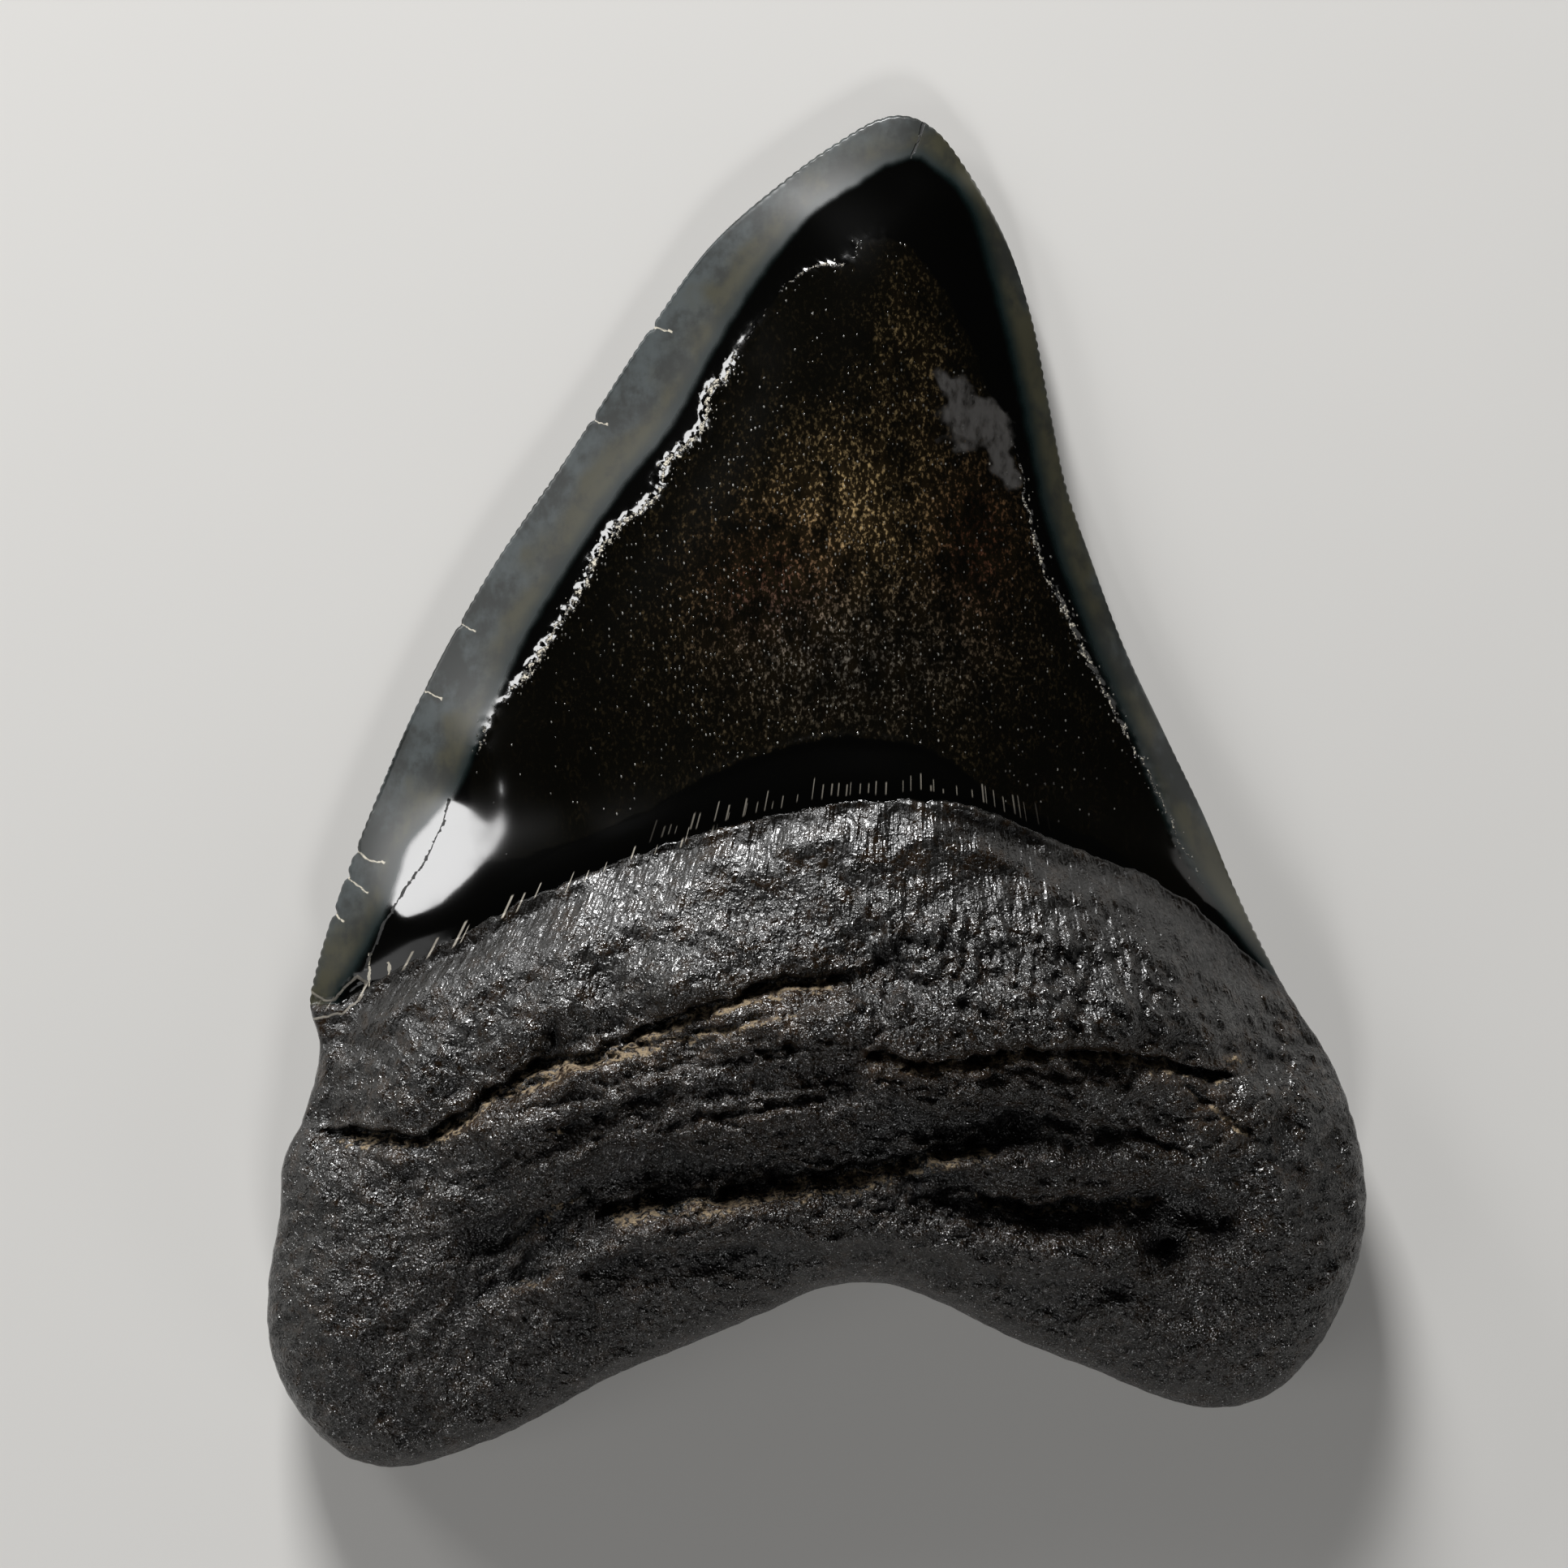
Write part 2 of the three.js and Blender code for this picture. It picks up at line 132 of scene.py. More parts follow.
# Ridges (height over 0) and furrows (height under 0) of the root: height, width and line.
BROAD_CREASES = [
    (1.7, 2.8, [(-12, -17.0), (-5, -18.6), (2, -20.0), (9, -20.4), (17, -19.8), (25, -20.4)]),
    (-1.1, 1.9, [(-42, -28.8), (-35.4, -29.5), (-29, -26), (-22, -21.9), (-13.6, -19.5),
                 (-6.7, -17.6), (0.2, -16.5), (5.4, -15.6)]),
    (1.0, 1.5, [(-36, -32), (-28, -28.6), (-21, -24.6), (-13, -22.4), (-5, -20.4), (2, -19.4)]),
    (0.9, 1.3, [(-27, -30.4), (-20.6, -27.2), (-14, -25), (-7, -23.6), (-0.5, -22.9)]),
    (0.9, 1.4, [(-24.6, -32.6), (-17.8, -29.9), (-10.4, -28.4), (-3.8, -27.6), (3, -27.4)]),
    (-0.9, 1.9, [(2, -22.6), (4.7, -21.9), (9.9, -23), (15.4, -22.1), (23.7, -22.3), (30, -22.5),
                 (37.6, -24.1), (42, -26.6)]),
    (1.0, 1.4, [(5, -24.6), (10, -26), (15.4, -25.2), (23.7, -25.2), (31, -25.6)]),
    (-2.5, 2.1, [(-28, -39.2), (-24.9, -37.2), (-21, -34.8), (-14.3, -33), (-7.4, -33.1),
                 (0.9, -31.5), (9.2, -29.7), (16.8, -28.4)]),
    (0.9, 1.5, [(10, -32), (17, -31.2), (26, -31.6), (33, -32.6)]),
    (-2.1, 1.8, [(10, -34), (16.9, -35.6), (23.1, -35.3), (30.2, -34.8), (35, -36.8)]),
    (-1.2, 1.6, [(-31.2, -44.4), (-25.6, -40.8), (-18.5, -37.9)]),
    (1.2, 2.0, [(-22.1, -41), (-17.1, -38.3), (-7.4, -36.8), (3, -36.8), (12, -38.8), (19, -40),
                (26.7, -39.4)]),
    (-0.5, 1.8, [(-32.9, -30.1), (-34.7, -33.2), (-35.4, -38.1), (-36.2, -42)]),
    (-0.9, 1.6, [(-40, -18.2), (-34.2, -15.0), (-27.1, -11.7), (-18.6, -7.8), (-10.9, -5),
                 (-3.9, -2.8), (3, -1.7), (8.6, -1.7), (13.9, -2.8), (21.1, -5.6), (28.3, -8.2),
                 (33.8, -11.8), (38.5, -15.6)]),
]

# Ledges and cracks of the root, each along a line from left to right: how far the surface drops below
# the line, the lip above it, the crack's depth and width, and the share of sediment in it.
Ledge = namedtuple("Ledge", "drop lip crack width silt line")
LEDGES = [
    Ledge(1.5, 0.3, 1.1, 0.55, 0.9, [
        (-43.2, -30), (-39.9, -29.6), (-35.5, -29.7), (-33.4, -29.4), (-31.2, -28), (-28.4, -25.9),
        (-25.6, -24.1), (-22.5, -22.7), (-20, -22.6), (-17.2, -21.2), (-14.4, -20.1), (-10.9, -18.7),
        (-7.4, -17.5), (-4, -16.6), (-0.5, -15.9), (3.6, -15.5)]),
    Ledge(0.7, 0.25, 0.5, 0.4, 1.0, [
        (-28.4, -26.5), (-24.2, -24.8), (-21.4, -23.2), (-18.6, -22.9), (-15.8, -21.7), (-12.3, -20.9),
        (-8.8, -20.1), (-6, -19.3), (-3.3, -18.6), (-0.5, -17.9)]),
    Ledge(0.0, 0.0, 1.5, 0.5, 0.2, [(-22.5, -22.7), (-23.1, -19.2), (-23.8, -18.1)]),
    Ledge(0.0, 0.0, 0.5, 0.3, 0.1, [(-18.2, -15), (-17.5, -17), (-17.9, -19.1), (-18.2, -20.5)]),
    Ledge(1.3, 0.35, 1.3, 0.55, 1.0, [
        (2.2, -21.7), (6.4, -22.5), (9.1, -22.8), (11.9, -22.7), (14.7, -22.1), (18.1, -21.8),
        (21.6, -22), (25.8, -22.4), (29.4, -23), (31.5, -23.3), (34.4, -24.1), (36.6, -24.5)]),
    Ledge(1.0, 0.5, 0.0, 0.7, 0.0, [
        (4.2, -22.8), (5.7, -23.3), (7.7, -24.5), (9.8, -25), (12.6, -25), (14.7, -23.9), (16.7, -23.3),
        (20, -24.0), (25, -24.6)]),
    Ledge(0.3, 0.1, 0.5, 0.4, 0.9, [(27.2, -25.3), (30.1, -26.4)]),
    Ledge(0.5, 0.2, 0.6, 0.4, 1.0, [(30.8, -25), (32.9, -26.1), (35.8, -27.9), (37.2, -28.7), (38.7, -30.4)]),
    Ledge(0.2, 0.0, 0.4, 0.5, 1.0, [(33.7, -21), (38.1, -23.5)]),
    Ledge(1.0, 0.4, 0.5, 0.5, 0.4, [
        (-29.1, -31.8), (-25.6, -30.3), (-22.7, -28.9), (-18.6, -27.4), (-14.4, -25.7), (-10.9, -24.2)]),
    Ledge(0.7, 0.35, 0.3, 0.5, 0.3, [
        (-14.5, -29.2), (-10.5, -27.8), (-6.4, -27.2), (-2.0, -26.2), (2.4, -25.8)]),
    Ledge(0.6, 0.35, 0.2, 0.5, 0.2, [(-8.6, -23.0), (-4.4, -21.8), (-0.6, -21.4), (2.0, -20.4)]),
    Ledge(0.8, 0.35, 0.6, 0.5, 0.6, [
        (-28.2, -39.2), (-25.7, -38.2), (-25, -37.1), (-21.4, -34.6), (-20, -33.1)]),
    Ledge(1.8, 0.4, 1.3, 1.0, 0.9, [
        (-19.6, -36.2), (-16.4, -35.0), (-13.6, -34.3), (-9.2, -34.3), (-5, -33.4), (-0.5, -32.6),
        (4.3, -31.8), (8.1, -31.0), (12, -29.9), (16.0, -29.0)]),
    Ledge(1.3, 0.35, 0.6, 0.6, 0.7, [
        (12, -33.7), (16.2, -35), (18.3, -35.3), (20.4, -35), (23.9, -35), (27.4, -34.7), (30.2, -34.4),
        (31.6, -34.8)]),
    Ledge(0.6, 0.3, 0.2, 0.5, 0.2, [
        (14.0, -27.2), (19.0, -27.6), (24.4, -28.4), (29.6, -29.8), (33.4, -31.8)]),
    Ledge(0.0, 0.0, 1.8, 0.9, 0.1, [(27.4, -38.7), (29.9, -38.7), (32, -38.8)]),
    Ledge(0.0, 0.1, 0.4, 0.5, 0.9, [(31.7, -37.4), (33.1, -38.8), (34.4, -39.2)]),
    Ledge(0.0, 0.0, 0.3, 0.5, 0.2, [
        (-36.2, -40.3), (-35.5, -38.2), (-34.8, -34), (-35.5, -32.5), (-33.4, -29.7)]),
    Ledge(1.0, 0.3, 0.0, 1.2, 0.0, [
        (-21.4, -41.4), (-17.2, -39.8), (-10.2, -39.2), (-3.3, -38.9), (3.7, -39.0), (7.8, -39.4),
        (13.4, -40.6), (17.5, -41.6), (23.1, -41.8), (28.4, -41.2)]),
    Ledge(0.5, 0.25, 0.3, 0.5, 0.5, [(-28.5, -42.4), (-24.3, -41.6), (-21.4, -40.1)]),
    Ledge(0.4, 0.2, 0.3, 0.5, 0.3, [(-31.3, -49.4), (-29.2, -48)]),
]

# How far a ledge's drop and lip reach from its line, how high the lip and the sill under the crack are,
# and over what length a ledge fades out at its ends, in millimetres.
LEDGE_REACH = 3.4
LIP_REACH = 2.4
LIP_RISE = 1.7
SILL = 0.35
LEDGE_TAPER = 2.5

# Lumps and pits of the root: x, y, radius and height.
LUMPS = [
    (42.3, -27.0, 2.6, 1.5), (40.6, -28.6, 1.5, -1.2), (45.0, -30.4, 1.4, -1.0),
    (-22.4, -23.2, 2.0, -1.3), (-18.0, -16.2, 2.4, -0.9), (30.4, -39.0, 2.9, -1.7),
    (12.4, -18.4, 0.7, -0.9), (14.4, -19.0, 0.7, -0.9), (16.9, -18.6, 0.6, -0.7),
    (-31.0, -54.0, 3.0, 0.8), (-41.5, -46.0, 3.2, 0.9), (-29.5, -48.6, 2.6, -0.9),
    (33.0, -49.0, 2.8, 0.7), (39.4, -42.6, 2.4, -0.9), (-43.2, -34.5, 2.2, 0.8),
    (21.0, -44.0, 2.2, -0.8), (-4.0, -41.0, 2.2, -0.8), (-24.0, -36.6, 2.4, 0.8),
    (8.0, -40.6, 2.0, 0.7), (-40.9, -21.4, 1.8, -0.7), (25.0, -18.4, 2.4, 0.6),
]

# Shallow hollows of the lower face: x, y, radius and depth.
UNDER_HOLLOWS = [
    (3, -24, 15, 1.6), (-27, -22, 9, 0.9), (30, -22, 8, 0.8), (4, 12, 10, 0.7), (6, 38, 6, 0.5),
]

# Borders on the upper face, from the point outwards and down; the plate's third value is how crumbly it is.
BAND_LEFT = [
    (8.3, 55.8), (5.9, 55.0), (3.6, 53.5), (0.0, 51.2), (-2.3, 48.8), (-6.3, 43.5), (-9.3, 38.5),
    (-12.9, 32.1), (-17.8, 25.8), (-25.5, 13.8), (-28.8, 6.7), (-31.6, 0.2), (-35.7, -4.8),
    (-37.6, -10.2), (-40.7, -15.9), (-42.5, -19.1),
]
BAND_RIGHT = [
    (9.2, 55.7), (11.8, 53.6), (13.6, 51.0), (14.8, 47.4), (17.1, 38.5), (18.9, 30.3),
    (20.3, 23.8), (23.7, 14.1), (27.5, 5.4), (31.8, -5.0), (37.1, -12.8), (39.6, -15.8),
]
PLATE_LEFT = [
    (8.0, 47.7, 0.0), (5.9, 48.3, 0.1), (3.8, 47.9, 0.15), (2.4, 46.1, 0.3), (-1.5, 45.3, 0.35),
    (-4.0, 42.5, 0.1), (-5.4, 40.7, 0.2), (-7.1, 38.1, 0.4), (-7.6, 36.5, 0.8), (-9.4, 34.7, 1.0),
    (-9.6, 32.4, 1.0), (-10.7, 30.5, 0.8), (-12.8, 28.8, 0.9), (-14.6, 25.1, 0.7),
    (-17.5, 22.8, 1.0), (-19.1, 20.6, 0.9), (-20.3, 17.9, 0.8), (-22.0, 15.0, 0.7),
    (-24.5, 11.3, 1.0), (-25.4, 9.9, 0.9), (-27.3, 8.1, 0.3), (-29.3, 4.6, 0.35), (-30.0, 2.4, 0.1),
    (-30.4, -1.0, 0.0), (-29.0, -6.0, 0.0), (-22.0, -4.6, 0.0), (-14.5, -1.8, 0.0),
]
PLATE_RIGHT = [
    (11.0, 44.0, 0.0), (13.5, 39.0, 0.0), (15.9, 32.9, 0.1), (17.7, 29.1, 0.2), (18.5, 24.3, 0.5),
    (19.1, 21.4, 0.65), (20.0, 19.1, 0.65), (21.5, 16.0, 0.75), (23.6, 11.4, 0.65), (26.4, 6.1, 0.5),
    (29.0, 1.2, 0.45), (31.6, -4.3, 0.35), (34.0, -9.0, 0.1),
]
BOURLETTE_TOP = [
    (-39.0, -14.5), (-34.3, -11.3), (-28.6, -8.8), (-21.5, -4.6), (-14.5, -1.8), (-11.0, 0.5),
    (-3.8, 3.4), (0.4, 4.4), (4.3, 4.5), (8.6, 3.8), (11.7, 2.3), (15.7, -0.9), (21.1, -3.0),
    (26.5, -5.9), (31.1, -9.5), (36.3, -13.5),
]
ROOT_TOP = [
    (-41.5, -18.6), (-40.0, -17.7), (-35.7, -15.2), (-30.0, -12.0), (-25.7, -9.8), (-20.1, -7.4),
    (-13.8, -4.9), (-8.8, -3.4), (-1.7, -1.6), (2.2, -1.1), (6.1, -0.9), (10.3, -0.9),
    (13.9, -1.6), (17.5, -3.0), (21.0, -4.5), (24.6, -5.9), (28.3, -7.4), (31.9, -9.5),
    (35.8, -12.8), (38.7, -15.4), (40.5, -16.6),
]
UNDER_ROOT_TOP = [
    (-44.3, -19.2), (-36.0, -21.5), (-25.0, -20.5), (-12.0, -17.2), (4.0, -15.2), (18.0, -17.0),
    (31.0, -19.4), (41.0, -17.4),
]
SMUDGE = [
    (10.5, 36.3), (13.7, 35.0), (16.5, 33.6), (17.2, 29.4), (17.6, 26.5), (16.5, 26.0),
    (14.7, 29.3), (11.1, 30.6),
]
CHIP = [(-44.6, -17.4), (-42.9, -18.4), (-42.1, -18.3), (-41.2, -17.0), (-40.0, -16.2),
        (-39.2, -16.7), (-39.9, -18.2), (-41.4, -19.3), (-44.6, -19.9)]

# Cracks and nicks drawn on the surface: start, end and width in millimetres.
HAIRLINES = [
    ((-32.1, -1.0), (-32.5, -2.6), 0.09), ((-32.5, -2.6), (-34.0, -6.0), 0.09),
    ((-34.0, -6.0), (-35.8, -8.5), 0.1), ((-35.8, -8.5), (-37.9, -12.0), 0.09),
    ((-37.9, -12.0), (-39.2, -15.2), 0.12),
]
POINT_CRACK = [((9.6, 59.4), (9.1, 57.6), 0.24), ((9.1, 57.6), (8.4, 55.7), 0.2)]
BRIGHT_NICKS = [
    ((-14.6, 40.8), (-13.0, 40.2), 0.16), ((-19.5, 32.6), (-18.6, 32.1), 0.14),
    ((-40.2, -5.3), (-39.4, -6.1), 0.16), ((-39.4, -6.1), (-38.0, -6.2), 0.16),
    ((-41.1, -7.4), (-39.5, -8.8), 0.18), ((-42.3, -10.6), (-41.6, -11.3), 0.14),
    ((-38.9, -14.4), (-38.9, -18.3), 0.13), ((-37.2, -15.2), (-37.0, -16.9), 0.12),
    ((-31.1, 14.5), (-30.2, 14.0), 0.15), ((-34.0, 8.6), (-33.1, 8.1), 0.14),
]

# How far the root's rounding reaches in from the rim, above and below, and the crown's rise below it.
ROOT_ROUNDING = 9.0
ROOT_UNDER_ROUNDING = 8.0
CROWN_UNDER_RISE = 13.0

# The form blends from crown to root between these distances above and below the crown's foot.
ROOT_BLEND = (3.0, 9.0)

# Striations fan out from a centre above the crown, and the root's wrinkles arch about its middle.
FAN_CENTRE = (8.0, 65.0)
FAN_RADIUS = 78.0
ARCH_MIDDLE = 6.0
ARCH_BEND = 0.006

# The strip that has the border's material, as distances inside the root.
BORDER_STRIP = (-4.2, 1.4)

# Corners that close an outline far below the tooth.
LOWER_CORNERS = [(60, -20), (60, -80), (-60, -80), (-60, -20)]

# Mesh rings: where they close, the first ones as shares of the rim, the mean distance from the rim to
# the middle, and how much coarser the lower face is.
MIDDLE = (4.0, -12.0)
RIM_RINGS = [0.9965, 0.9925, 0.987, 0.98]
MEAN_RADIUS = 33.0
LOWER_COARSENESS = 1.9

# Places that are worked on at a time, points of the rim that are searched, and a distance beyond any zone.
BLOCK = 4000
RIM_SAMPLES = 3000
FAR = 9.0

# Soft spots of the finishes: middle, half width and half height in millimetres.
Spot = namedtuple("Spot", "x y width height")
# The gold spots lay the plate's gold and brown most thickly in its middle, partly as a painted sheen
GOLD_SHEEN_MIDDLE = Spot(3.2, 24.0, 6.5, 6.0)
GOLD_SHEEN_UPPER = Spot(8.2, 37.0, 3.0, 7.0)
RED_LEFT = Spot(-4.5, 17.5, 6.5, 6.5)
RED_RIGHT = Spot(14.0, 21.0, 4.5, 8.0)
PALE_LOW = Spot(3.0, 10.5, 11.0, 6.0)
WHOLE_PLATE = Spot(2.0, 16.0, 20.0, 20.0)
SOFT_SHOULDER = Spot(-27.0, -3.5, 3.2, 3.2)
SOFT_CORNER = Spot(-34.0, -14.5, 7.0, 2.6)
DULL_RIDGE = Spot(27.0, -12.0, 12.0, 8.0)

# Roughness of the finishes and how strongly the two kinds of surface bend light.
STRIP_ROUGHNESS = 0.07
COLLAR_ROUGHNESS = 0.08
PLATE_ROUGHNESS = 0.09
BAND_ROUGHNESS = 0.33
SMUDGE_ROUGHNESS = 0.5
CRUMB_ROUGHNESS = 0.5
CRACK_ROUGHNESS = 0.6
SILT_ROUGHNESS = 0.85
FLOOR_ROUGHNESS = 0.85
ENAMEL_IOR = 1.52
CRUST_IOR = 1.6

# What each finish's node group gives.
FINISH_PARTS = ("Colour", "Roughness", "Height")

# Softboxes: bearing round the tooth and angle from straight above in degrees, side in metres, power in watts.
Softbox = namedtuple("Softbox", "name bearing angle side power")
SOFTBOXES = [
    Softbox("top_softbox", 103.0, 67.0, 0.26, 14.2),
    Softbox("shoulder_softbox", 141.0, 70.0, 0.21, 2.2),
    Softbox("left_softbox", 205.0, 58.0, 0.5, 1.0),
    Softbox("low_softbox", 272.0, 60.0, 0.16, 2.5),
    Softbox("right_softbox", 318.0, 66.0, 0.4, 0.6),
]

# The room's brightness as the camera sees it, the tint of its light, and the camera's place and sensor.
SEEN_ROOM_LIGHT = 0.8
ROOM_TINT = (1.0, 0.99, 0.97, 1.0)
CAMERA_PLACE = (-2.87 * MM, 0.60 * MM)
SENSOR_WIDTH = 36.0


# Number work on places, in millimetres

def clamp01(values):
    return np.clip(values, 0.0, 1.0)


def smooth_step(values):
    values = clamp01(values)
    return values * values * (3.0 - 2.0 * values)


def mix(a, b, share):
    return a + (b - a) * share


def bell(distance, width):
    return np.exp(-((distance / width) ** 2))


def through(points, closed, steps=14):
    """A smooth curve through the points (centripetal Catmull-Rom), as a dense line."""
    p = np.array(points, float)
    if closed:
        p = np.vstack([p[-1], p, p[0], p[1]])
    else:
        p = np.vstack([2 * p[0] - p[1], p, 2 * p[-1] - p[-2]])
    share = np.linspace(0.0, 1.0, steps, endpoint=False)[:, None]
    dense = []
    for a, b, c, d in zip(p[:-3], p[1:-2], p[2:-1], p[3:]):
        before, here, after = (max(1e-4, math.sqrt(np.linalg.norm(s))) for s in (b - a, c - b, d - c))
        leave = ((b - a) / before - (c - a) / (before + here) + (c - b) / here) * here
        reach = ((c - b) / here - (d - b) / (here + after) + (d - c) / after) * here
        bend = -3 * b + 3 * c - 2 * leave - reach
        twist = 2 * b - 2 * c + leave + reach
        dense.append(b + leave * share + bend * share ** 2 + twist * share ** 3)
    dense = np.vstack(dense)
    return dense if closed else np.vstack([dense, p[-2]])


def run_along(line):
    """The distance from a line's start to each of its points."""
    return np.concatenate([[0.0], np.cumsum(np.linalg.norm(np.diff(line, axis=0), axis=1))])


def spaced(line, count):
    """Points at equal steps along a closed line, starting where it starts."""
    line = np.vstack([line, line[0]])
    run = run_along(line)
    places = np.arange(count) * run[-1] / count
    return np.stack([np.interp(places, run, line[:, i]) for i in range(line.shape[1])], axis=1)


def blocks(xy):
    return np.array_split(xy, max(1, len(xy) // BLOCK))


def to_line(xy, line):
    """Distance to a line, its sign (positive on the left of its direction) and the place along it."""
    line = np.array(line, float)[:, :2]
    start, step = line[:-1], line[1:] - line[:-1]
    long = np.maximum(1e-9, (step ** 2).sum(axis=1))
    found = []
    for block in blocks(xy):
        offset = block[:, None, :] - start
        share = clamp01((offset * step).sum(axis=2) / long)
        square = ((offset - share[:, :, None] * step) ** 2).sum(axis=2)
        best = square.argmin(axis=1)
        row = np.arange(len(best))
        cross = step[best, 0] * offset[row, best, 1] - step[best, 1] * offset[row, best, 0]
        found.append((np.sqrt(square[row, best]), np.where(cross >= 0, 1.0, -1.0), best + share[row, best]))
    return [np.concatenate(values) for values in zip(*found)]


def value_along(values, along):
    """A line's values at places along it, where whole numbers are its points."""
    return np.interp(along, np.arange(len(values)), values)


def to_lines(xy, lines):
    """Distance to the nearest of several straight lines (start, end, width), with its sign and width."""
    nearest = np.full(len(xy), FAR)
    side = np.ones(len(xy))
    width = np.zeros(len(xy))
    for start, end, wide in lines:
        distance, sign, _ = to_line(xy, [start, end])
        closer = distance < nearest
        nearest[closer], side[closer], width[closer] = distance[closer], sign[closer], wide
    return nearest, side, width


def inside(xy, outline):
    """Distance to a closed outline, positive inside it."""
    closed = np.vstack([outline, outline[:1]])
    distance, _, _ = to_line(xy, closed)
    within = np.zeros(len(xy), bool)
    for (ax, ay), (bx, by) in zip(closed[:-1, :2], closed[1:, :2]):
        crosses = (ay > xy[:, 1]) != (by > xy[:, 1])
        if ay != by:
            at = (bx - ax) * (xy[:, 1] - ay) / (by - ay) + ax
            within ^= crosses & (xy[:, 0] < at)
    return np.where(within, distance, -distance)


def from_place(xy, x, y):
    return np.hypot(xy[:, 0] - x, xy[:, 1] - y)


def lumpy(xy, cell_x, cell_y, seed, octaves=1):
    """Smooth noise from about -1 to 1 with lumps of the given size, one value for each place."""
    scaled = np.column_stack([xy[:, 0] / cell_x, xy[:, 1] / cell_y, np.full(len(xy), seed * 7.31)])
    return np.array([noise.fractal(Vector(p), 1.0, 2.0, octaves) for p in scaled.tolist()])


def bent_plate(places):
    """A thin plate bent smoothly through all the places, as a function of x and y."""
    places = np.array(places)
    knots = places[:, :2]

    def reach(xy):
        square = ((xy[:, None, :] - knots[None]) ** 2).sum(axis=2)
        return square * np.log(np.maximum(square, 1e-12))

    flat = np.column_stack([np.ones(len(knots)), knots])
    table = np.block([[reach(knots), flat], [flat.T, np.zeros((3, 3))]])
    weights = np.linalg.solve(table, np.concatenate([places[:, 2], np.zeros(3)]))

    def height(xy):
        parts = [reach(block) @ weights[:-3] for block in blocks(xy)]
        return np.concatenate(parts) + weights[-3] + xy @ weights[-2:]

    return height


# The tooth's form

def on_facet(x, y):
    """A place on the flat facet low on the left of the crown."""
    return (x, y, FACET_AT[2] + FACET_SLOPE[0] * (x - FACET_AT[0]) + FACET_SLOPE[1] * (y - FACET_AT[1]))


CROWN_FACET = [on_facet(x, y) for x, y in FACET_PLACES]
RIM = through(LEFT_CUTTING_EDGE + LEFT_ROOT + ROOT_HOLLOW + RIGHT_ROOT + RIGHT_CUTTING_EDGE, True)
CUTTING_EDGES = LEFT_CUTTING_EDGE + RIGHT_CUTTING_EDGE
UPPER_FORM = bent_plate(CUTTING_EDGES + BEVEL_TOP + CROWN_FORM + CROWN_FACET + CROWN_FOOT + ROOT_FORM)
FOOT_LINE = [(-52, -19), (-44.3, -18.6)] + [p[:2] for p in CROWN_FOOT] + [(40, -15.6), (52, -15)]


def to_rim(xy):
    """Distance to the rim and the rim's height there."""
    dense = spaced(RIM, RIM_SAMPLES)
    tree = kdtree.KDTree(len(dense))
    for i, place in enumerate(dense):
        tree.insert((place[0], place[1], 0.0), i)
    tree.balance()
    found = [tree.find((x, y, 0.0)) for x, y in xy.tolist()]
    return np.array([f[2] for f in found]), dense[[f[1] for f in found], 2]


def root_share(xy):
    """0 on the crown and 1 on the root, blending just below the line where the crown ends."""
    line = np.array(FOOT_LINE, float)
    below = np.interp(xy[:, 0], line[:, 0], line[:, 1]) - xy[:, 1]
    return smooth_step((below + ROOT_BLEND[0]) / sum(ROOT_BLEND))


def quarter_round(distance, radius):
    return np.sqrt(1.0 - (1.0 - clamp01(distance / radius)) ** 2)


def arch_height(xy):
    """A coordinate that is the same all along one of the root's arched wrinkles."""
    return xy[:, 1] + ARCH_BEND * (xy[:, 0] - ARCH_MIDDLE) ** 2


def fan_width(xy):
    """A coordinate across the fine striations, which fan out from above the crown."""
    return np.arctan2(xy[:, 0] - FAN_CENTRE[0], FAN_CENTRE[1] - xy[:, 1]) * FAN_RADIUS


def ledge_profile(offset, ledge):
    """Height beside a ledge; the offset is positive above its line."""
    above = LIP_RISE * ledge.lip * np.exp(-np.maximum(offset, 0.0) / LIP_REACH)
    below = -ledge.drop * np.exp(np.minimum(offset, 0.0) / LEDGE_REACH)
    across = smooth_step(offset / ledge.width + 0.5)
    sill = SILL * min(1.0, ledge.drop) * bell(offset + 2.6 * ledge.width, ledge.width)
    crack = ledge.crack * bell(offset + 0.4 * ledge.width, 0.65 * ledge.width)
    return mix(below, above, across) + sill - crack


def ledge_relief(xy, sizes):
    """Height of the ledges and cracks, the share of sediment in them and of dust beside them."""
    wander = np.column_stack([lumpy(xy, 2.2, 2.2, 3, 3), lumpy(xy, 2.2, 2.2, 4, 3)]) * 0.55
    shifted = xy + wander
    swell = clamp01(0.85 + 0.7 * lumpy(xy, 4.0, 4.0, 5, 2))
    patches = clamp01(0.95 + 0.9 * lumpy(xy, 5.0, 5.0, 6, 2))
    height, silt, dust = np.zeros((3, len(xy)))
    for ledge in LEDGES:
        line = through(ledge.line, False, 4)
        distance, side, along = to_line(shifted, line)
        run = run_along(line)
        place = value_along(run, along)
        taper = smooth_step(place / LEDGE_TAPER) * smooth_step((run[-1] - place) / LEDGE_TAPER)
        taper *= smooth_step((9.0 - distance) / 4.0)
        offset = distance * side
        height += ledge_profile(offset, ledge) * taper * swell * sizes.ledge_depth
        in_crack = bell(offset + 1.3 * ledge.width, 1.1 * ledge.width)
        silt = np.maximum(silt, ledge.silt * in_crack * taper * patches)
        dust = np.maximum(dust, ledge.silt * bell(offset + 1.0, 1.9) * taper)
    return height, silt, dust


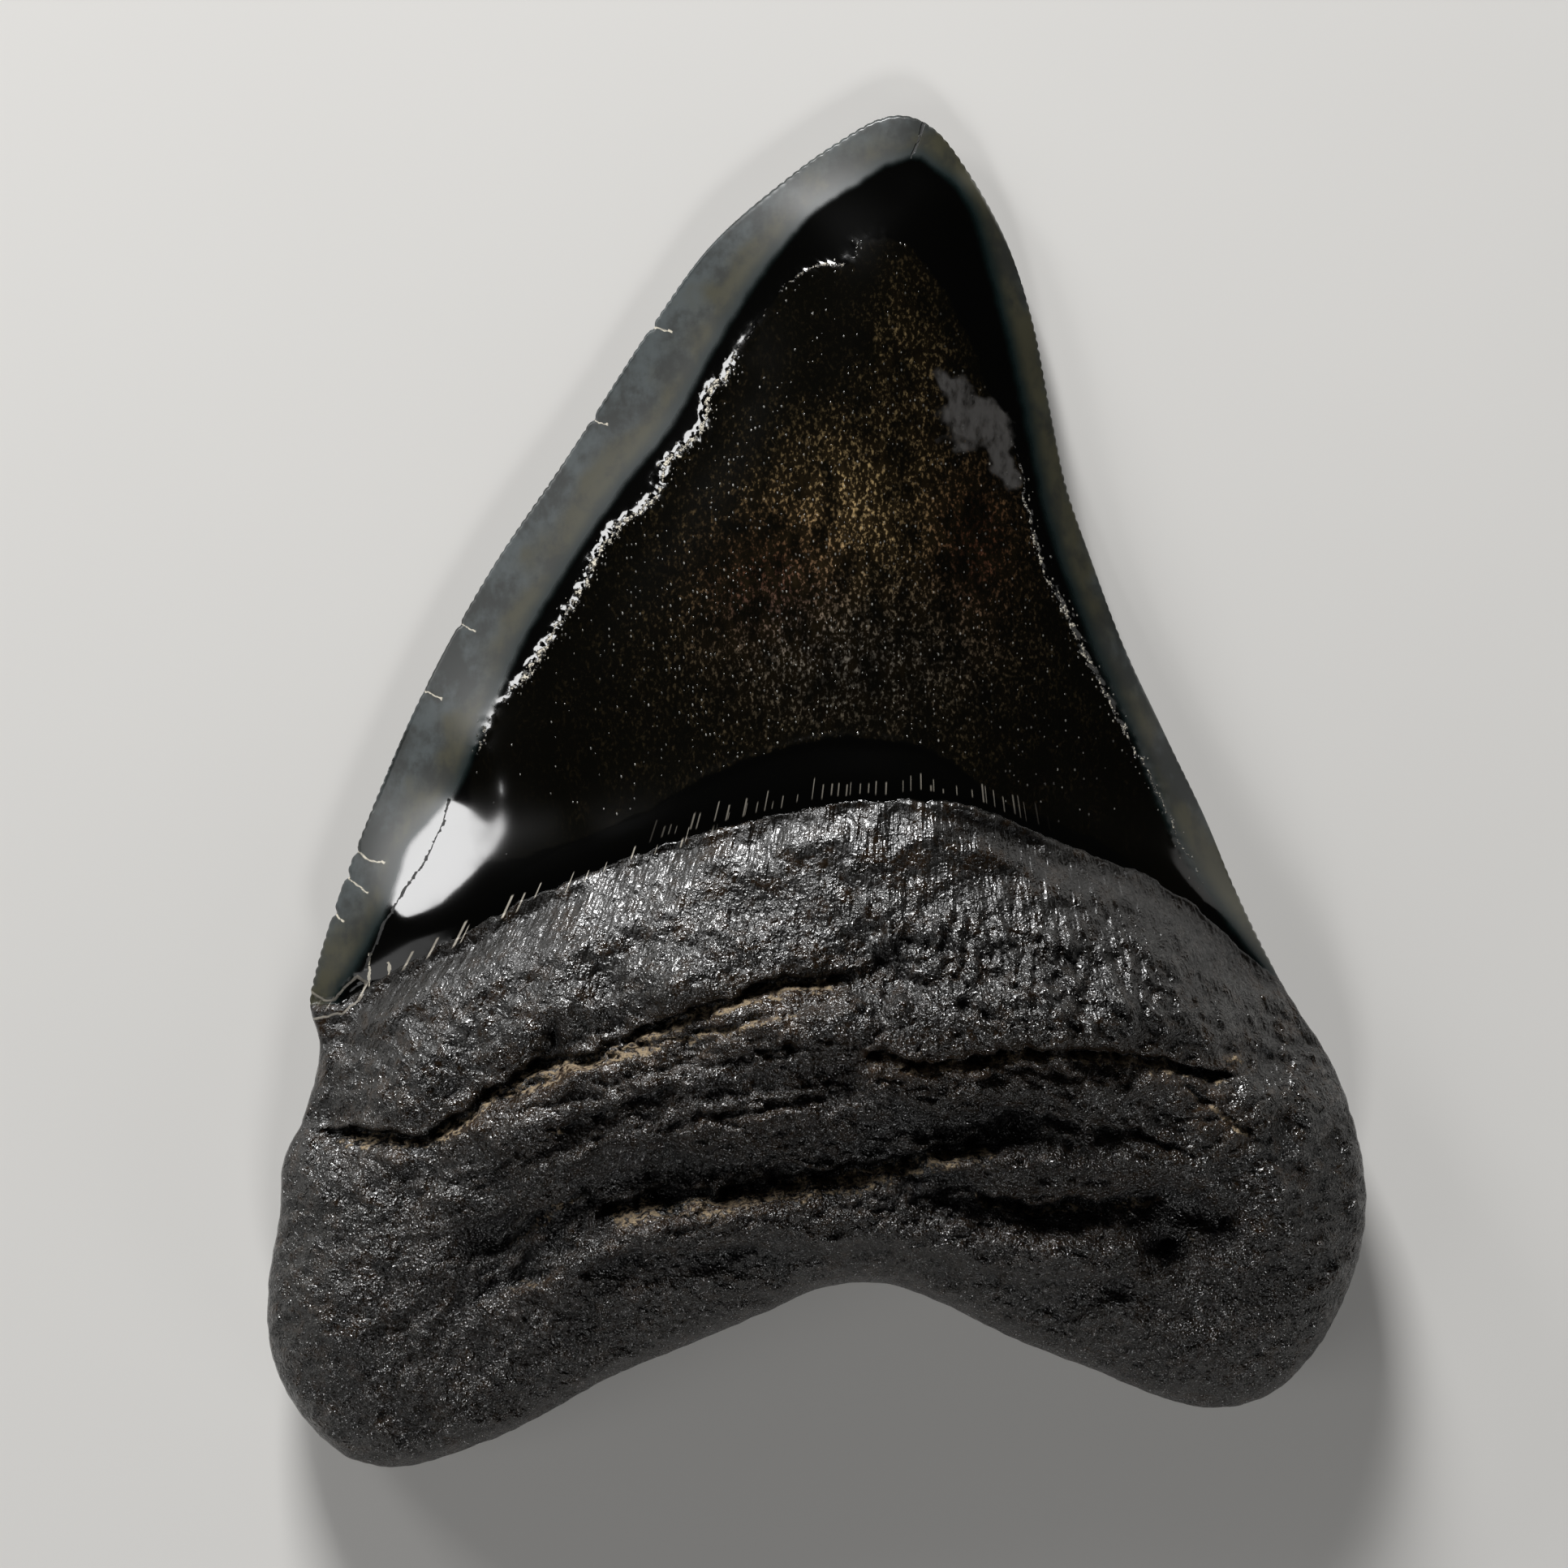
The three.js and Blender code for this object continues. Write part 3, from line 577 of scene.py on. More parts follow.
def root_relief(xy, sizes):
    """Height of the root's lumps, of the wrinkles in its middle and of the striations above them."""
    arch = arch_height(xy)
    along = np.column_stack([fan_width(xy), arch])
    bent = along + 1.1 * np.column_stack([lumpy(xy, 3.0, 3.0, 8, 3), lumpy(xy, 3.0, 3.0, 9, 3)])
    sway = along + 0.5 * np.column_stack([lumpy(xy, 2.0, 3.0, 18, 2), lumpy(xy, 3.0, 3.0, 19, 2)])
    middle = smooth_step((34.0 - np.abs(xy[:, 0] + 1.0)) / 12.0)
    wrinkled = middle * smooth_step((-15.5 - arch) / 4.0) * smooth_step((arch + 42.0) / 6.0)
    striped = smooth_step((xy[:, 0] + 2.0) / 8.0) * smooth_step((33.0 - xy[:, 0]) / 8.0)
    striped *= smooth_step((-7.0 - arch) / 6.0) * smooth_step((arch + 24.5) / 2.5)
    height = 0.4 * lumpy(xy, 6.5, 5.0, 11, 2) + 0.55 * lumpy(bent, 3.6, 2.6, 20, 1)
    folds = 1.2 * np.abs(lumpy(bent, 5.5, 2.0, 12, 3)) + 0.8 * np.abs(lumpy(bent, 2.6, 1.1, 13, 2))
    height += wrinkled * (folds - 0.4)
    height += striped * 1.6 * (np.abs(lumpy(sway, 1.0, 3.4, 14, 2)) - 0.2)
    rough = 0.35 + 0.65 * smooth_step((-8.0 - arch) / 8.0)
    height += rough * 0.8 * np.abs(lumpy(xy, 2.4, 2.0, 17, 2))
    height += rough * 0.6 * np.abs(lumpy(xy, 1.2, 1.1, 15, 2))
    return height * sizes.root_lumps


def upper_borders(xy):
    """Distances in millimetres to the borders of the upper face's zones, positive inside each."""
    band_left = through(BAND_LEFT, False, 6)
    band_right = through(BAND_RIGHT, False, 6)
    inner = np.vstack([band_right[::-1], band_left, [(-60, -30), (-60, -80), (60, -80), (60, -30)]])
    plate_left = through(PLATE_LEFT, False, 4)
    plate_right = through(PLATE_RIGHT, False, 4)
    foot = through(BOURLETTE_TOP, False, 5)
    arc = foot[foot[:, 0] > -12.0]
    plate = np.vstack([plate_left[:, :2], arc[:-3], plate_right[::-1, :2]])
    root = np.vstack([through(ROOT_TOP, False, 5), LOWER_CORNERS])
    left_gap, _, left_along = to_line(xy, plate_left)
    right_gap, _, right_along = to_line(xy, plate_right)
    left_crumbs = value_along(plate_left[:, 2], left_along)
    right_crumbs = value_along(plate_right[:, 2], right_along)
    top_gap, top_side, _ = to_line(xy, foot)
    wobble = lumpy(xy, 1.3, 1.3, 21, 3)
    crack_gap, crack_side, crack_width = to_lines(xy + 0.12 * wobble[:, None], HAIRLINES + POINT_CRACK)
    nick_gap, nick_side, nick_width = to_lines(xy + 0.12 * wobble[:, None], BRIGHT_NICKS)
    return {
        "band": -inside(xy, inner) + 0.12 * wobble,
        "plate": inside(xy, plate) + 0.35 * wobble,
        "crumble": np.where(left_gap < right_gap, left_crumbs, right_crumbs),
        "crumble_gap": np.minimum(left_gap, right_gap),
        "bourlette": -top_gap * top_side,
        "root": inside(xy, root) + 0.3 * wobble,
        "smudge": inside(xy, np.array(SMUDGE)) + 1.3 * wobble,
        "chip": inside(xy, np.array(CHIP)) + 0.25 * wobble,
        "crack_offset": np.clip(crack_gap * crack_side, -1.0, 1.0),
        "crack_gap": crack_gap - 0.5 * crack_width,
        "nick_offset": np.clip(nick_gap * nick_side, -1.0, 1.0),
        "nick_gap": nick_gap - 0.5 * nick_width,
    }


def upper_face(xy, sizes):
    """Heights and zone values of the upper face."""
    gap, rim_height = to_rim(xy)
    share = root_share(xy)
    rounding = mix(1.0, quarter_round(gap, ROOT_ROUNDING), share)
    zones = upper_borders(xy)
    on_root = smooth_step((zones["root"] + 0.1) / 0.5)
    fade = smooth_step(gap / 3.0)
    broad = sum(h * bell(to_line(xy, line)[0], w) for h, w, line in BROAD_CREASES)
    broad += sum(h * bell(from_place(xy, x, y), r) for x, y, r, h in LUMPS)
    ledges, silt, dust = ledge_relief(xy, sizes)
    fine = ledges * fade + root_relief(xy, sizes) * smooth_step(gap / 1.2)
    grains = clamp01(0.3 + 1.4 * lumpy(xy, 0.6, 0.6, 22, 2))
    crumbs = bell(zones["crumble_gap"], 0.5) * zones["crumble"] * grains
    beside = bell(zones["crumble_gap"], 2.2) * zones["crumble"]
    crown = 0.16 * smooth_step((zones["plate"] + 0.15) / 0.3) * beside * smooth_step(gap / 2.0) + 0.3 * crumbs
    middle = smooth_step((xy[:, 0] + 13.0) / 8.0) * smooth_step((22.0 - xy[:, 0]) / 8.0)
    crown += middle * (0.12 * bell(zones["bourlette"], 0.3) - 0.10 * smooth_step(zones["bourlette"] / 0.6))
    crown -= 0.35 * smooth_step((zones["chip"] + 0.1) / 0.3)
    height = rim_height + (UPPER_FORM(xy) - rim_height) * rounding + broad * fade
    height += mix(crown * smooth_step(gap / 0.6), fine, on_root)
    relief = on_root * (fine + 0.5 * broad)
    zones.update(silt=silt, dust=dust, relief=relief, cloud=lumpy(xy, 6.0, 6.0, 23, 3))
    return np.minimum(height, CAD_BOX_TOP), zones


def lower_face(xy):
    """Heights and zone values of the lower face, which is nearly flat."""
    gap, rim_height = to_rim(xy)
    crown_rise = (1.0 - clamp01(gap / CROWN_UNDER_RISE)) ** 2
    root_rise = 1.0 - quarter_round(gap, ROOT_UNDER_ROUNDING)
    share = root_share(xy)
    hollows = np.zeros(len(xy))
    for x, y, radius, depth in UNDER_HOLLOWS:
        hollows += depth * (1.0 - smooth_step(from_place(xy, x, y) / radius))
    outline = np.vstack([through(UNDER_ROOT_TOP, False, 5), LOWER_CORNERS])
    root = inside(xy, outline)
    on_root = smooth_step((root + 0.1) / 0.6)
    rough = 0.14 + 0.14 * lumpy(xy, 5.0, 4.0, 31, 3) + 0.06 * lumpy(xy, 1.0, 1.0, 32, 1)
    height = rim_height * mix(crown_rise, root_rise, share) + hollows
    height += on_root * np.maximum(rough, 0.0) * clamp01(gap / 1.5)
    far = np.full(len(xy), FAR)
    zones = dict.fromkeys(["crumble_gap", "crack_offset", "crack_gap", "nick_offset", "nick_gap"], far)
    zones.update(dict.fromkeys(["bourlette", "smudge", "chip"], -far))
    zones.update(
        band=3.2 - gap, plate=gap - 3.6, crumble=0.0 * gap, root=root, silt=0.4 * bell(root, 0.7),
        dust=0.5 * bell(root, 2.0), relief=on_root * (rough - 0.2), cloud=lumpy(xy, 6.0, 6.0, 33, 3))
    return np.maximum(height, 0.0), zones


def stitch(places, outer, inner):
    """Triangles between two rings that start at the same place, taking the shorter edge each time."""
    faces = []
    i = j = 0
    m, n = len(outer), len(inner)
    while i < m or j < n:
        a, b = outer[i % m], inner[j % n]
        next_a, next_b = outer[(i + 1) % m], inner[(j + 1) % n]
        if j == n:
            step_out = True
        elif i == m:
            step_out = False
        else:
            (ax, ay), (bx, by) = places[a], places[b]
            (cx, cy), (dx, dy) = places[next_a], places[next_b]
            step_out = (cx - bx) ** 2 + (cy - by) ** 2 <= (ax - dx) ** 2 + (ay - dy) ** 2
        faces.append((a, next_a, b) if step_out else (a, next_b, b))
        i += step_out
        j += not step_out
    return faces


def face_rings(rim_xy, shares, spacing, coarseness, first):
    """Places and triangles of one face, as rings from the rim to the middle.

    The triangles number the rim's places from 0 and the face's own places from first."""
    rim_count = len(rim_xy)
    places = [tuple(p) for p in rim_xy]
    outer = list(range(rim_count))
    faces = []
    length = run_along(np.vstack([rim_xy, rim_xy[:1]]))[-1]
    for share in shares:
        count = max(6, round(length * share / (spacing * (0.75 if share > 0.99 else coarseness))))
        ring = mix(np.array(MIDDLE), spaced(rim_xy, count), share)
        inner = list(range(len(places), len(places) + count))
        places += [tuple(p) for p in ring]
        faces += stitch(places, outer, inner)
        outer = inner
    places.append(MIDDLE)
    centre = len(places) - 1
    faces += [(a, outer[(k + 1) % len(outer)], centre) for k, a in enumerate(outer)]
    faces = [tuple(v if v < rim_count else v - rim_count + first for v in face) for face in faces]
    return np.array(places[rim_count:]), faces


def serrated_rim(sizes):
    """The rim with the fine notches of the cutting edges and a few chips."""
    rim = spaced(RIM, round(sizes.rim_points))
    xy = rim[:, :2]
    run = np.linspace(0.0, 1.0, len(rim), endpoint=False)
    length = run_along(np.vstack([xy, xy[:1]]))[-1]
    notch = np.abs(np.sin(math.pi * run * length / sizes.notch_pitch)) ** 0.7
    on_crown = 1.0 - smooth_step(root_share(xy) * 3.0)
    worn = clamp01(0.55 + 0.9 * lumpy(xy, 9.0, 9.0, 41, 2))
    bite = sizes.notch_depth * (1.0 - notch) * worn
    for start, _, _ in BRIGHT_NICKS:
        bite = np.maximum(bite, 0.35 * bell(from_place(xy, *start), 0.35))
    rough = 0.10 * lumpy(xy, 1.5, 1.5, 42, 2)
    inward = np.roll(xy, -3, axis=0) - np.roll(xy, 3, axis=0)
    inward = np.column_stack([inward[:, 1], -inward[:, 0]]) / np.linalg.norm(inward, axis=1)[:, None]
    towards = np.sign(((np.array(MIDDLE) - xy) * inward).sum(axis=1))[:, None]
    depth = mix(0.12 + rough, bite, on_crown)[:, None]
    return np.column_stack([xy + inward * towards * depth, rim[:, 2]])


def tooth_mesh(sizes):
    """The tooth's places in millimetres, its triangles and its zone values."""
    rim = serrated_rim(sizes)
    step = sizes.spacing / MEAN_RADIUS
    last = RIM_RINGS[-1]
    upper_shares = RIM_RINGS + list(np.arange(last - step, 0.6 * step, -step))
    lower_shares = RIM_RINGS + list(np.arange(last - 2.0 * step, 0.6 * step, -2.1 * step))
    upper_xy, upper_faces = face_rings(rim[:, :2], upper_shares, sizes.spacing, 1.0, len(rim))
    first = len(rim) + len(upper_xy)
    lower_xy, lower_faces = face_rings(rim[:, :2], lower_shares, sizes.spacing, LOWER_COARSENESS, first)
    upper_z, upper_zones = upper_face(upper_xy, sizes)
    lower_z, lower_zones = lower_face(lower_xy)
    _, rim_zones = upper_face(rim[:, :2], sizes)
    places = np.vstack([rim, np.column_stack([upper_xy, upper_z]), np.column_stack([lower_xy, lower_z])])
    faces = upper_faces + [face[::-1] for face in lower_faces]
    zones = {k: np.concatenate([rim_zones[k], upper_zones[k], lower_zones[k]]) for k in upper_zones}
    return places, faces, zones


# Nodes of the finishes

class Value:
    """The output of a shader node, which can be reckoned with like a number."""

    def __init__(self, tree, socket):
        self.tree = tree
        self.socket = socket

    def maths(self, operation, *others):
        return value_from(self.tree, "ShaderNodeMath", dict(enumerate((self, *others))), operation=operation)

    def __add__(self, other):
        return self.maths("ADD", other)

    def __sub__(self, other):
        return self.maths("SUBTRACT", other)

    def __rsub__(self, other):
        return self * -1.0 + other

    def __mul__(self, other):
        return self.maths("MULTIPLY", other)

    def __abs__(self):
        return self.maths("ABSOLUTE")

    def feed(self, socket):
        """Links this output to another node's input."""
        self.tree.links.new(self.socket, socket)


def node(tree, kind, inputs=None, **settings):
    """Adds a node, sets its properties and fills its inputs with numbers or other nodes' values."""
    made = tree.nodes.new(kind)
    for key, value in settings.items():
        setattr(made, key, value)
    for key, value in (inputs or {}).items():
        if isinstance(value, Value):
            value.feed(made.inputs[key])
        else:
            made.inputs[key].default_value = value
    return made


def value_from(tree, kind, inputs=None, output=0, **settings):
    """Adds a node and takes one of its outputs."""
    return Value(tree, node(tree, kind, inputs, **settings).outputs[output])


def blend(share, first, second, kind="RGBA"):
    """The first where the share is 0 and the second where it is 1: colours, or numbers as FLOAT."""
    from_input, to_input, output = (6, 7, 2) if kind == "RGBA" else (2, 3, 0)
    inputs = {0: share, from_input: first, to_input: second}
    return value_from(share.tree, "ShaderNodeMix", inputs, output, data_type=kind, clamp_factor=True)


def cover(share, colour, rough, new_colour, new_rough):
    """Lays a new colour and roughness over those below."""
    return blend(share, colour, new_colour), blend(share, rough, new_rough, "FLOAT")


def ramp(value, low, high):
    """0 below low and 1 above high, with a smooth rise between."""
    inputs = {0: value, 1: low, 2: high, 3: 0.0, 4: 1.0}
    return value_from(value.tree, "ShaderNodeMapRange", inputs, interpolation_type="SMOOTHSTEP")


def between(value, low, high, soft):
    """1 where the value lies between low and high."""
    return ramp(value, low, low + soft) * ramp(value, high + soft, high)


def zone(tree, name):
    """One of the zone values that the mesh holds."""
    kind = "ShaderNodeAttribute"
    return value_from(tree, kind, None, "Fac", attribute_name=name, attribute_type="GEOMETRY")


def place_mm(tree):
    """The place on the tooth in millimetres."""
    spot = value_from(tree, "ShaderNodeTexCoord", None, "Object")
    return value_from(tree, "ShaderNodeVectorMath", {0: spot, 3: 1.0 / MM}, operation="SCALE")


def axes(place):
    """The x, y and z of a place."""
    parts = node(place.tree, "ShaderNodeSeparateXYZ", {0: place}).outputs
    return [Value(place.tree, part) for part in parts]


def stretched(place, stretch):
    return value_from(place.tree, "ShaderNodeVectorMath", {0: place, 1: stretch}, operation="MULTIPLY")


def noise_at(place, scale, detail=2.0, roughness=0.5, stretch=(1.0, 1.0, 1.0)):
    """A noise value around 0.5; scale is in lumps for each millimetre."""
    inputs = {"Vector": stretched(place, stretch), "Scale": scale, "Detail": detail, "Roughness": roughness}
    return value_from(place.tree, "ShaderNodeTexNoise", inputs, "Fac")


def cells_at(tree, inputs, dimensions):
    """The distance to the nearest of many scattered points, and three chance values that go with it."""
    cells = node(tree, "ShaderNodeTexVoronoi", inputs, voronoi_dimensions=dimensions, feature="F1").outputs
    chance = node(tree, "ShaderNodeSeparateColor", {0: Value(tree, cells["Color"])}).outputs
    return Value(tree, cells["Distance"]), [Value(tree, part) for part in chance]


def effect(name, colours):
    """A new node group that takes the named colours and gives a colour, a roughness and a height."""
    tree = bpy.data.node_groups.new(name, "ShaderNodeTree")
    for label, colour in colours.items():
        socket = tree.interface.new_socket(label, in_out="INPUT", socket_type="NodeSocketColor")
        socket.default_value = (*colour, 1.0)
    for label, kind in zip(FINISH_PARTS, ("NodeSocketColor", "NodeSocketFloat", "NodeSocketFloat")):
        tree.interface.new_socket(label, in_out="OUTPUT", socket_type=kind)
    given = {socket.name: Value(tree, socket) for socket in tree.nodes.new("NodeGroupInput").outputs}
    return tree, given, tree.nodes.new("NodeGroupOutput").inputs


def line_mask(tree, name):
    """1 on the thin lines whose offset and gap the mesh holds under this name."""
    offset = abs(zone(tree, name + "_offset"))
    gap = zone(tree, name + "_gap")
    width = offset - gap
    return ramp(offset, width * 1.5, width * 0.7) * ramp(gap, 0.35, 0.2)


def fan_across(tree):
    """The coordinate across the upright striations, which fan out from above the crown."""
    x, y, _ = axes(place_mm(tree))
    return (x - FAN_CENTRE[0]).maths("ARCTAN2", FAN_CENTRE[1] - y) * FAN_RADIUS


def glow_at(place, spot):
    """1 in the middle of a spot, falling smoothly to 0 around it."""
    x, y, _ = axes(place)
    across = (x - spot.x) * (1.0 / spot.width)
    up = (y - spot.y) * (1.0 / spot.height)
    return ((across * across + up * up) * -1.0).maths("EXPONENT")


def ticks(across, distance, per_mm, width, before, after, share):
    """Short cracks side by side along a border, with lengths that vary."""
    gap, chance = cells_at(across.tree, {"W": across, "Scale": per_mm}, "1D")
    thin = chance[0] * width + 0.5 * width
    line = ramp(gap * (1.0 / per_mm), thin, thin * 0.4)
    start = chance[1] * -before - 0.3 * before
    end = chance[2] * after
    reach = ramp(distance, start, start + 0.2) * ramp(distance, end + 0.2, end)
    return line * chance[2].maths("LESS_THAN", share) * reach


def crust_group(colours):
    """The root's rough crust, with sediment in its furrows."""
    tree, given, out = effect("Root crust", colours)
    place = place_mm(tree)
    inside_root = zone(tree, "root")
    relief = zone(tree, "relief")
    coarse = noise_at(place, 1.7, 2.0, 0.55)
    fine = noise_at(place, 3.6, 1.0, 0.6)
    stain = noise_at(place, 0.55, 4.0, 0.62)
    spread = value_from(tree, "ShaderNodeCombineXYZ", {0: fan_across(tree), 1: axes(place)[1] * 0.2})
    fibred = ramp(inside_root, 24.0, 14.0) * (noise_at(spread, 1.3, 2.0, 0.6) - 0.5)
    low = ramp(inside_root, 12.0, 27.0) * 0.85
    dull = glow_at(place, DULL_RIDGE)
    creased = abs(coarse - 0.5)
    pits = ramp(creased, 0.045, 0.0)

    # Colour: dark and grey clouds, browner lobes, rust, pale peaks, a darker patch on a ridge at the right,
    # and painted shade in the hollows and pits
    clouded = (stain - 0.5) * 2.6 + zone(tree, "cloud") * 0.7 + fibred * 2.4 + 0.5
    crust = blend(clouded, given["Dark"], given["Grey"])
    crust = blend(low, crust, blend(ramp(stain, 0.45, 0.62), given["Shade and dark"], given["Brown"]))
    crust = blend(ramp(stain, 0.52, 0.38) * 0.28, crust, given["Rust"])
    crust = blend(ramp(fine, 0.58, 0.7) * 0.6, crust, given["Peaks"])
    crust = blend(zone(tree, "dust") * ramp(stain, 0.38, 0.58) * 0.6, crust, given["Rust"])
    crust = blend(dull * 0.8, crust, given["Shade and dark"])
    # Painted shade: the crust is darkened where the relief is low and in the creases of the grain
    crust = blend(ramp(relief, 0.2, -0.8), crust, given["Shade and dark"])
    crust = blend(pits * 0.8, crust, given["Shade and dark"])
    silt = zone(tree, "silt") * (coarse * 3.0 - 0.75)
    silt = ramp(silt * (fine * 1.8 + 0.1), 0.3, 0.75)
    silt_colour = blend(ramp(coarse, 0.4, 0.6), given["Rust"], given["Sediment"])

    # Roughness: satin, glossier where the relief is worn
    worn = ramp(creased * 3.0 + relief, 0.2, 1.1)
    rough = stain * 0.4 + pits * 0.3 - worn * 0.12 + dull * 0.08 + 0.05
    colour, rough = cover(silt, crust, rough, silt_colour, SILT_ROUGHNESS)

    # Height: grain that grows towards the lobes, and fibres below the crown
    grown = ramp(inside_root, 0.0, 14.0) * 0.8 + low * 0.4 + 0.3
    grain = coarse * 0.25 + creased * 0.5 + fine * (low * 0.14 + 0.09)
    colour.feed(out["Colour"])
    rough.feed(out["Roughness"])
    (grain * grown + fibred * 0.35).feed(out["Height"])
    return tree


def band_colour(given, place, band, streak):
    """The band along the cutting edge: cool outside, olive inside, with darker streaks and a teal border; the
    cool grey and its streaky clouds are the enamel's colour with a painted reflection of the softboxes mixed
    in.
    """
    cloud = zone(place.tree, "cloud")
    colour = blend(ramp(cloud * 3.0 + streak * 1.6 + band, 2.0, 4.6), given["Band olive"], given["Band cool reflection"])
    dark = noise_at(place, 0.45, 4.0, 0.65) * 1.6 + cloud * 0.5 + streak * 0.7
    colour = blend(ramp(dark, 0.85, 1.5) * 0.85, colour, given["Band streaks"])
    return blend(ramp(band, 1.3, -0.1), colour, given["Band border"])


def enamel_group(colours):
    """The crown's enamel: grey band, polished black strip, speckled plate and its crumbly border."""
    tree, given, out = effect("Crown enamel", colours)
    place = place_mm(tree)
    band = zone(tree, "band")
    crumble_gap = zone(tree, "crumble_gap")
    streak = noise_at(place, 1.5, 3.0, 0.6, (1.0, 0.45, 0.4))
    speckle = noise_at(place, 3.3, 2.0, 0.65, (1.0, 0.62, 0.3))

    # Plate: a black ground with a dense speckle, gold in the middle, reddish beside it and whitish below; the
    # gold glow in the middle is partly real colour and partly a painted sheen
    gold = glow_at(place, GOLD_SHEEN_UPPER) * 0.32 + glow_at(place, GOLD_SHEEN_MIDDLE)
    red = glow_at(place, RED_LEFT) + glow_at(place, RED_RIGHT)
    pale = glow_at(place, PALE_LOW)
    wide = glow_at(place, WHOLE_PLATE)
    level = gold * 0.75 + red * 0.24 + pale * 0.1 + wide * 0.06
    patchy = ramp(noise_at(place, 0.5, 3.0, 0.6, (1.0, 0.6, 0.3)), 0.34, 0.62)
    level = level * (streak * 3.2 - 0.6) * (patchy * 1.3 + 0.15)
    speck_colour = blend(red * 1.1, given["Gold"], given["Reddish"])
    speck_colour = blend(pale * 0.7, speck_colour, given["Whitish"])
    ground = blend(level * 0.5, given["Plate"], given["Brown and sheen"])
    ground = blend(ramp(speckle, 0.5, 0.76) * level, ground, speck_colour)

    # Dots: single grains, many beside the crumbs and few elsewhere
    gap, chance = cells_at(tree, {"Vector": stretched(place, (1.0, 0.62, 0.0)), "Scale": 2.6}, "2D")
    crumble = zone(tree, "crumble") * ramp(crumble_gap, 1.3, 0.4)
    size = chance[1] * 0.16 + 0.1
    dots = ramp(gap, size, size * 0.4) * chance[0].maths("LESS_THAN", crumble * 0.6 + wide * 0.3)
    ground = blend(dots * (chance[2] * chance[2] * 0.5 + 0.04), ground, given["Whitish"])

    # The crown's parts, each over the ones before
    plate = ramp(zone(tree, "plate"), -0.1, 0.25)
    colour, rough = cover(plate, given["Black"], STRIP_ROUGHNESS, ground, PLATE_ROUGHNESS)
    collar = ramp(zone(tree, "bourlette"), -0.1, 0.15)
    colour, rough = cover(collar, colour, rough, given["Black"], COLLAR_ROUGHNESS)
    rough = rough + (glow_at(place, SOFT_SHOULDER) + glow_at(place, SOFT_CORNER)) * 0.13
    smudge = ramp(zone(tree, "smudge"), -0.4, 0.7) * ramp(streak, 0.1, 0.6)
    colour, rough = cover(smudge, colour, rough, given["Smudge"], SMUDGE_ROUGHNESS)
    edge_colour = band_colour(given, place, band, streak)
    colour, rough = cover(ramp(band, -0.7, 0.2), colour, rough, edge_colour, BAND_ROUGHNESS)

    # Crumbs: a broken cord of pale grains, with loose ones beside it
    beads = noise_at(place, 2.1, 2.0, 0.7)
    width = zone(tree, "crumble") * (beads * 2.1 - 0.84)
    near = abs((streak - 0.5) * 0.8 + zone(tree, "plate"))
    cord = ramp(near, width, width * 0.5) * ramp(crumble_gap, 1.6, 0.9) * ramp(width, 0.06, 0.2)
    loose = dots * ramp(crumble, 0.1, 0.5) * ramp(chance[2], 0.3, 0.8)
    crumbs = cord.maths("MAXIMUM", loose) * (1.0 - collar)
    colour = blend(crumbs * ramp(speckle, 0.38, 0.56), colour, given["Crumbs"])
    rough = blend(crumbs, rough, CRUMB_ROUGHNESS, "FLOAT")

    # Pale nicks and dark cracks
    colour = blend(line_mask(tree, "nick"), colour, given["Crumbs"])
    cracked = line_mask(tree, "crack")
    blend(cracked * 0.95, colour, given["Black"]).feed(out["Colour"])
    blend(cracked, rough, CRACK_ROUGHNESS, "FLOAT").feed(out["Roughness"])
    (crumbs * beads * 0.5 - cracked * 0.1 + dots * plate * 0.012).feed(out["Height"])
    return tree


def crust_colours(tones):
    return {
        "Dark": tones.root_dark, "Grey": tones.root_grey, "Brown": tones.root_brown, "Peaks": tones.root_pale,
        "Shade and dark": tones.root_shade_dark, "Sediment": tones.silt_tan, "Rust": tones.silt_rust,
    }


def enamel_colours(tones):
    return {
        "Band cool reflection": tones.band_cool_reflection, "Band olive": tones.band_olive, "Band streaks": tones.band_grey,
        "Band border": tones.band_teal, "Black": tones.black, "Plate": tones.plate_dark,
        "Brown and sheen": tones.plate_brown_and_sheen, "Gold": tones.fleck_gold, "Reddish": tones.fleck_red,
        "Whitish": tones.fleck_white, "Crumbs": tones.crumb_white, "Smudge": tones.smudge,
    }


def new_material(name):
    material = bpy.data.materials.new(name)
    material.use_nodes = True
    return material, material.node_tree


def place_group(tree, group, colours):
    """Places a node group in a material, with its colours, and gives its colour, roughness and height."""
    inputs = {label: (*colour, 1.0) for label, colour in colours.items()}
    made = node(tree, "ShaderNodeGroup", inputs, node_tree=group)
    return [Value(tree, made.outputs[part]) for part in FINISH_PARTS]


def finish_shader(tree, colour, rough, height, ior):
    """Feeds a material's shader, with the height in millimetres as its bump."""
    shader = tree.nodes["Principled BSDF"]
    bump = value_from(tree, "ShaderNodeBump", {"Strength": 1.0, "Distance": MM, "Height": height}, "Normal")
    colour.feed(shader.inputs["Base Color"])
    rough.feed(shader.inputs["Roughness"])
    bump.feed(shader.inputs["Normal"])
    shader.inputs["IOR"].default_value = ior


def even_material(name, group, colours, ior):
    """A material with one finish all over."""
    material, tree = new_material(name)
    finish_shader(tree, *place_group(tree, group, colours), ior)
    return material


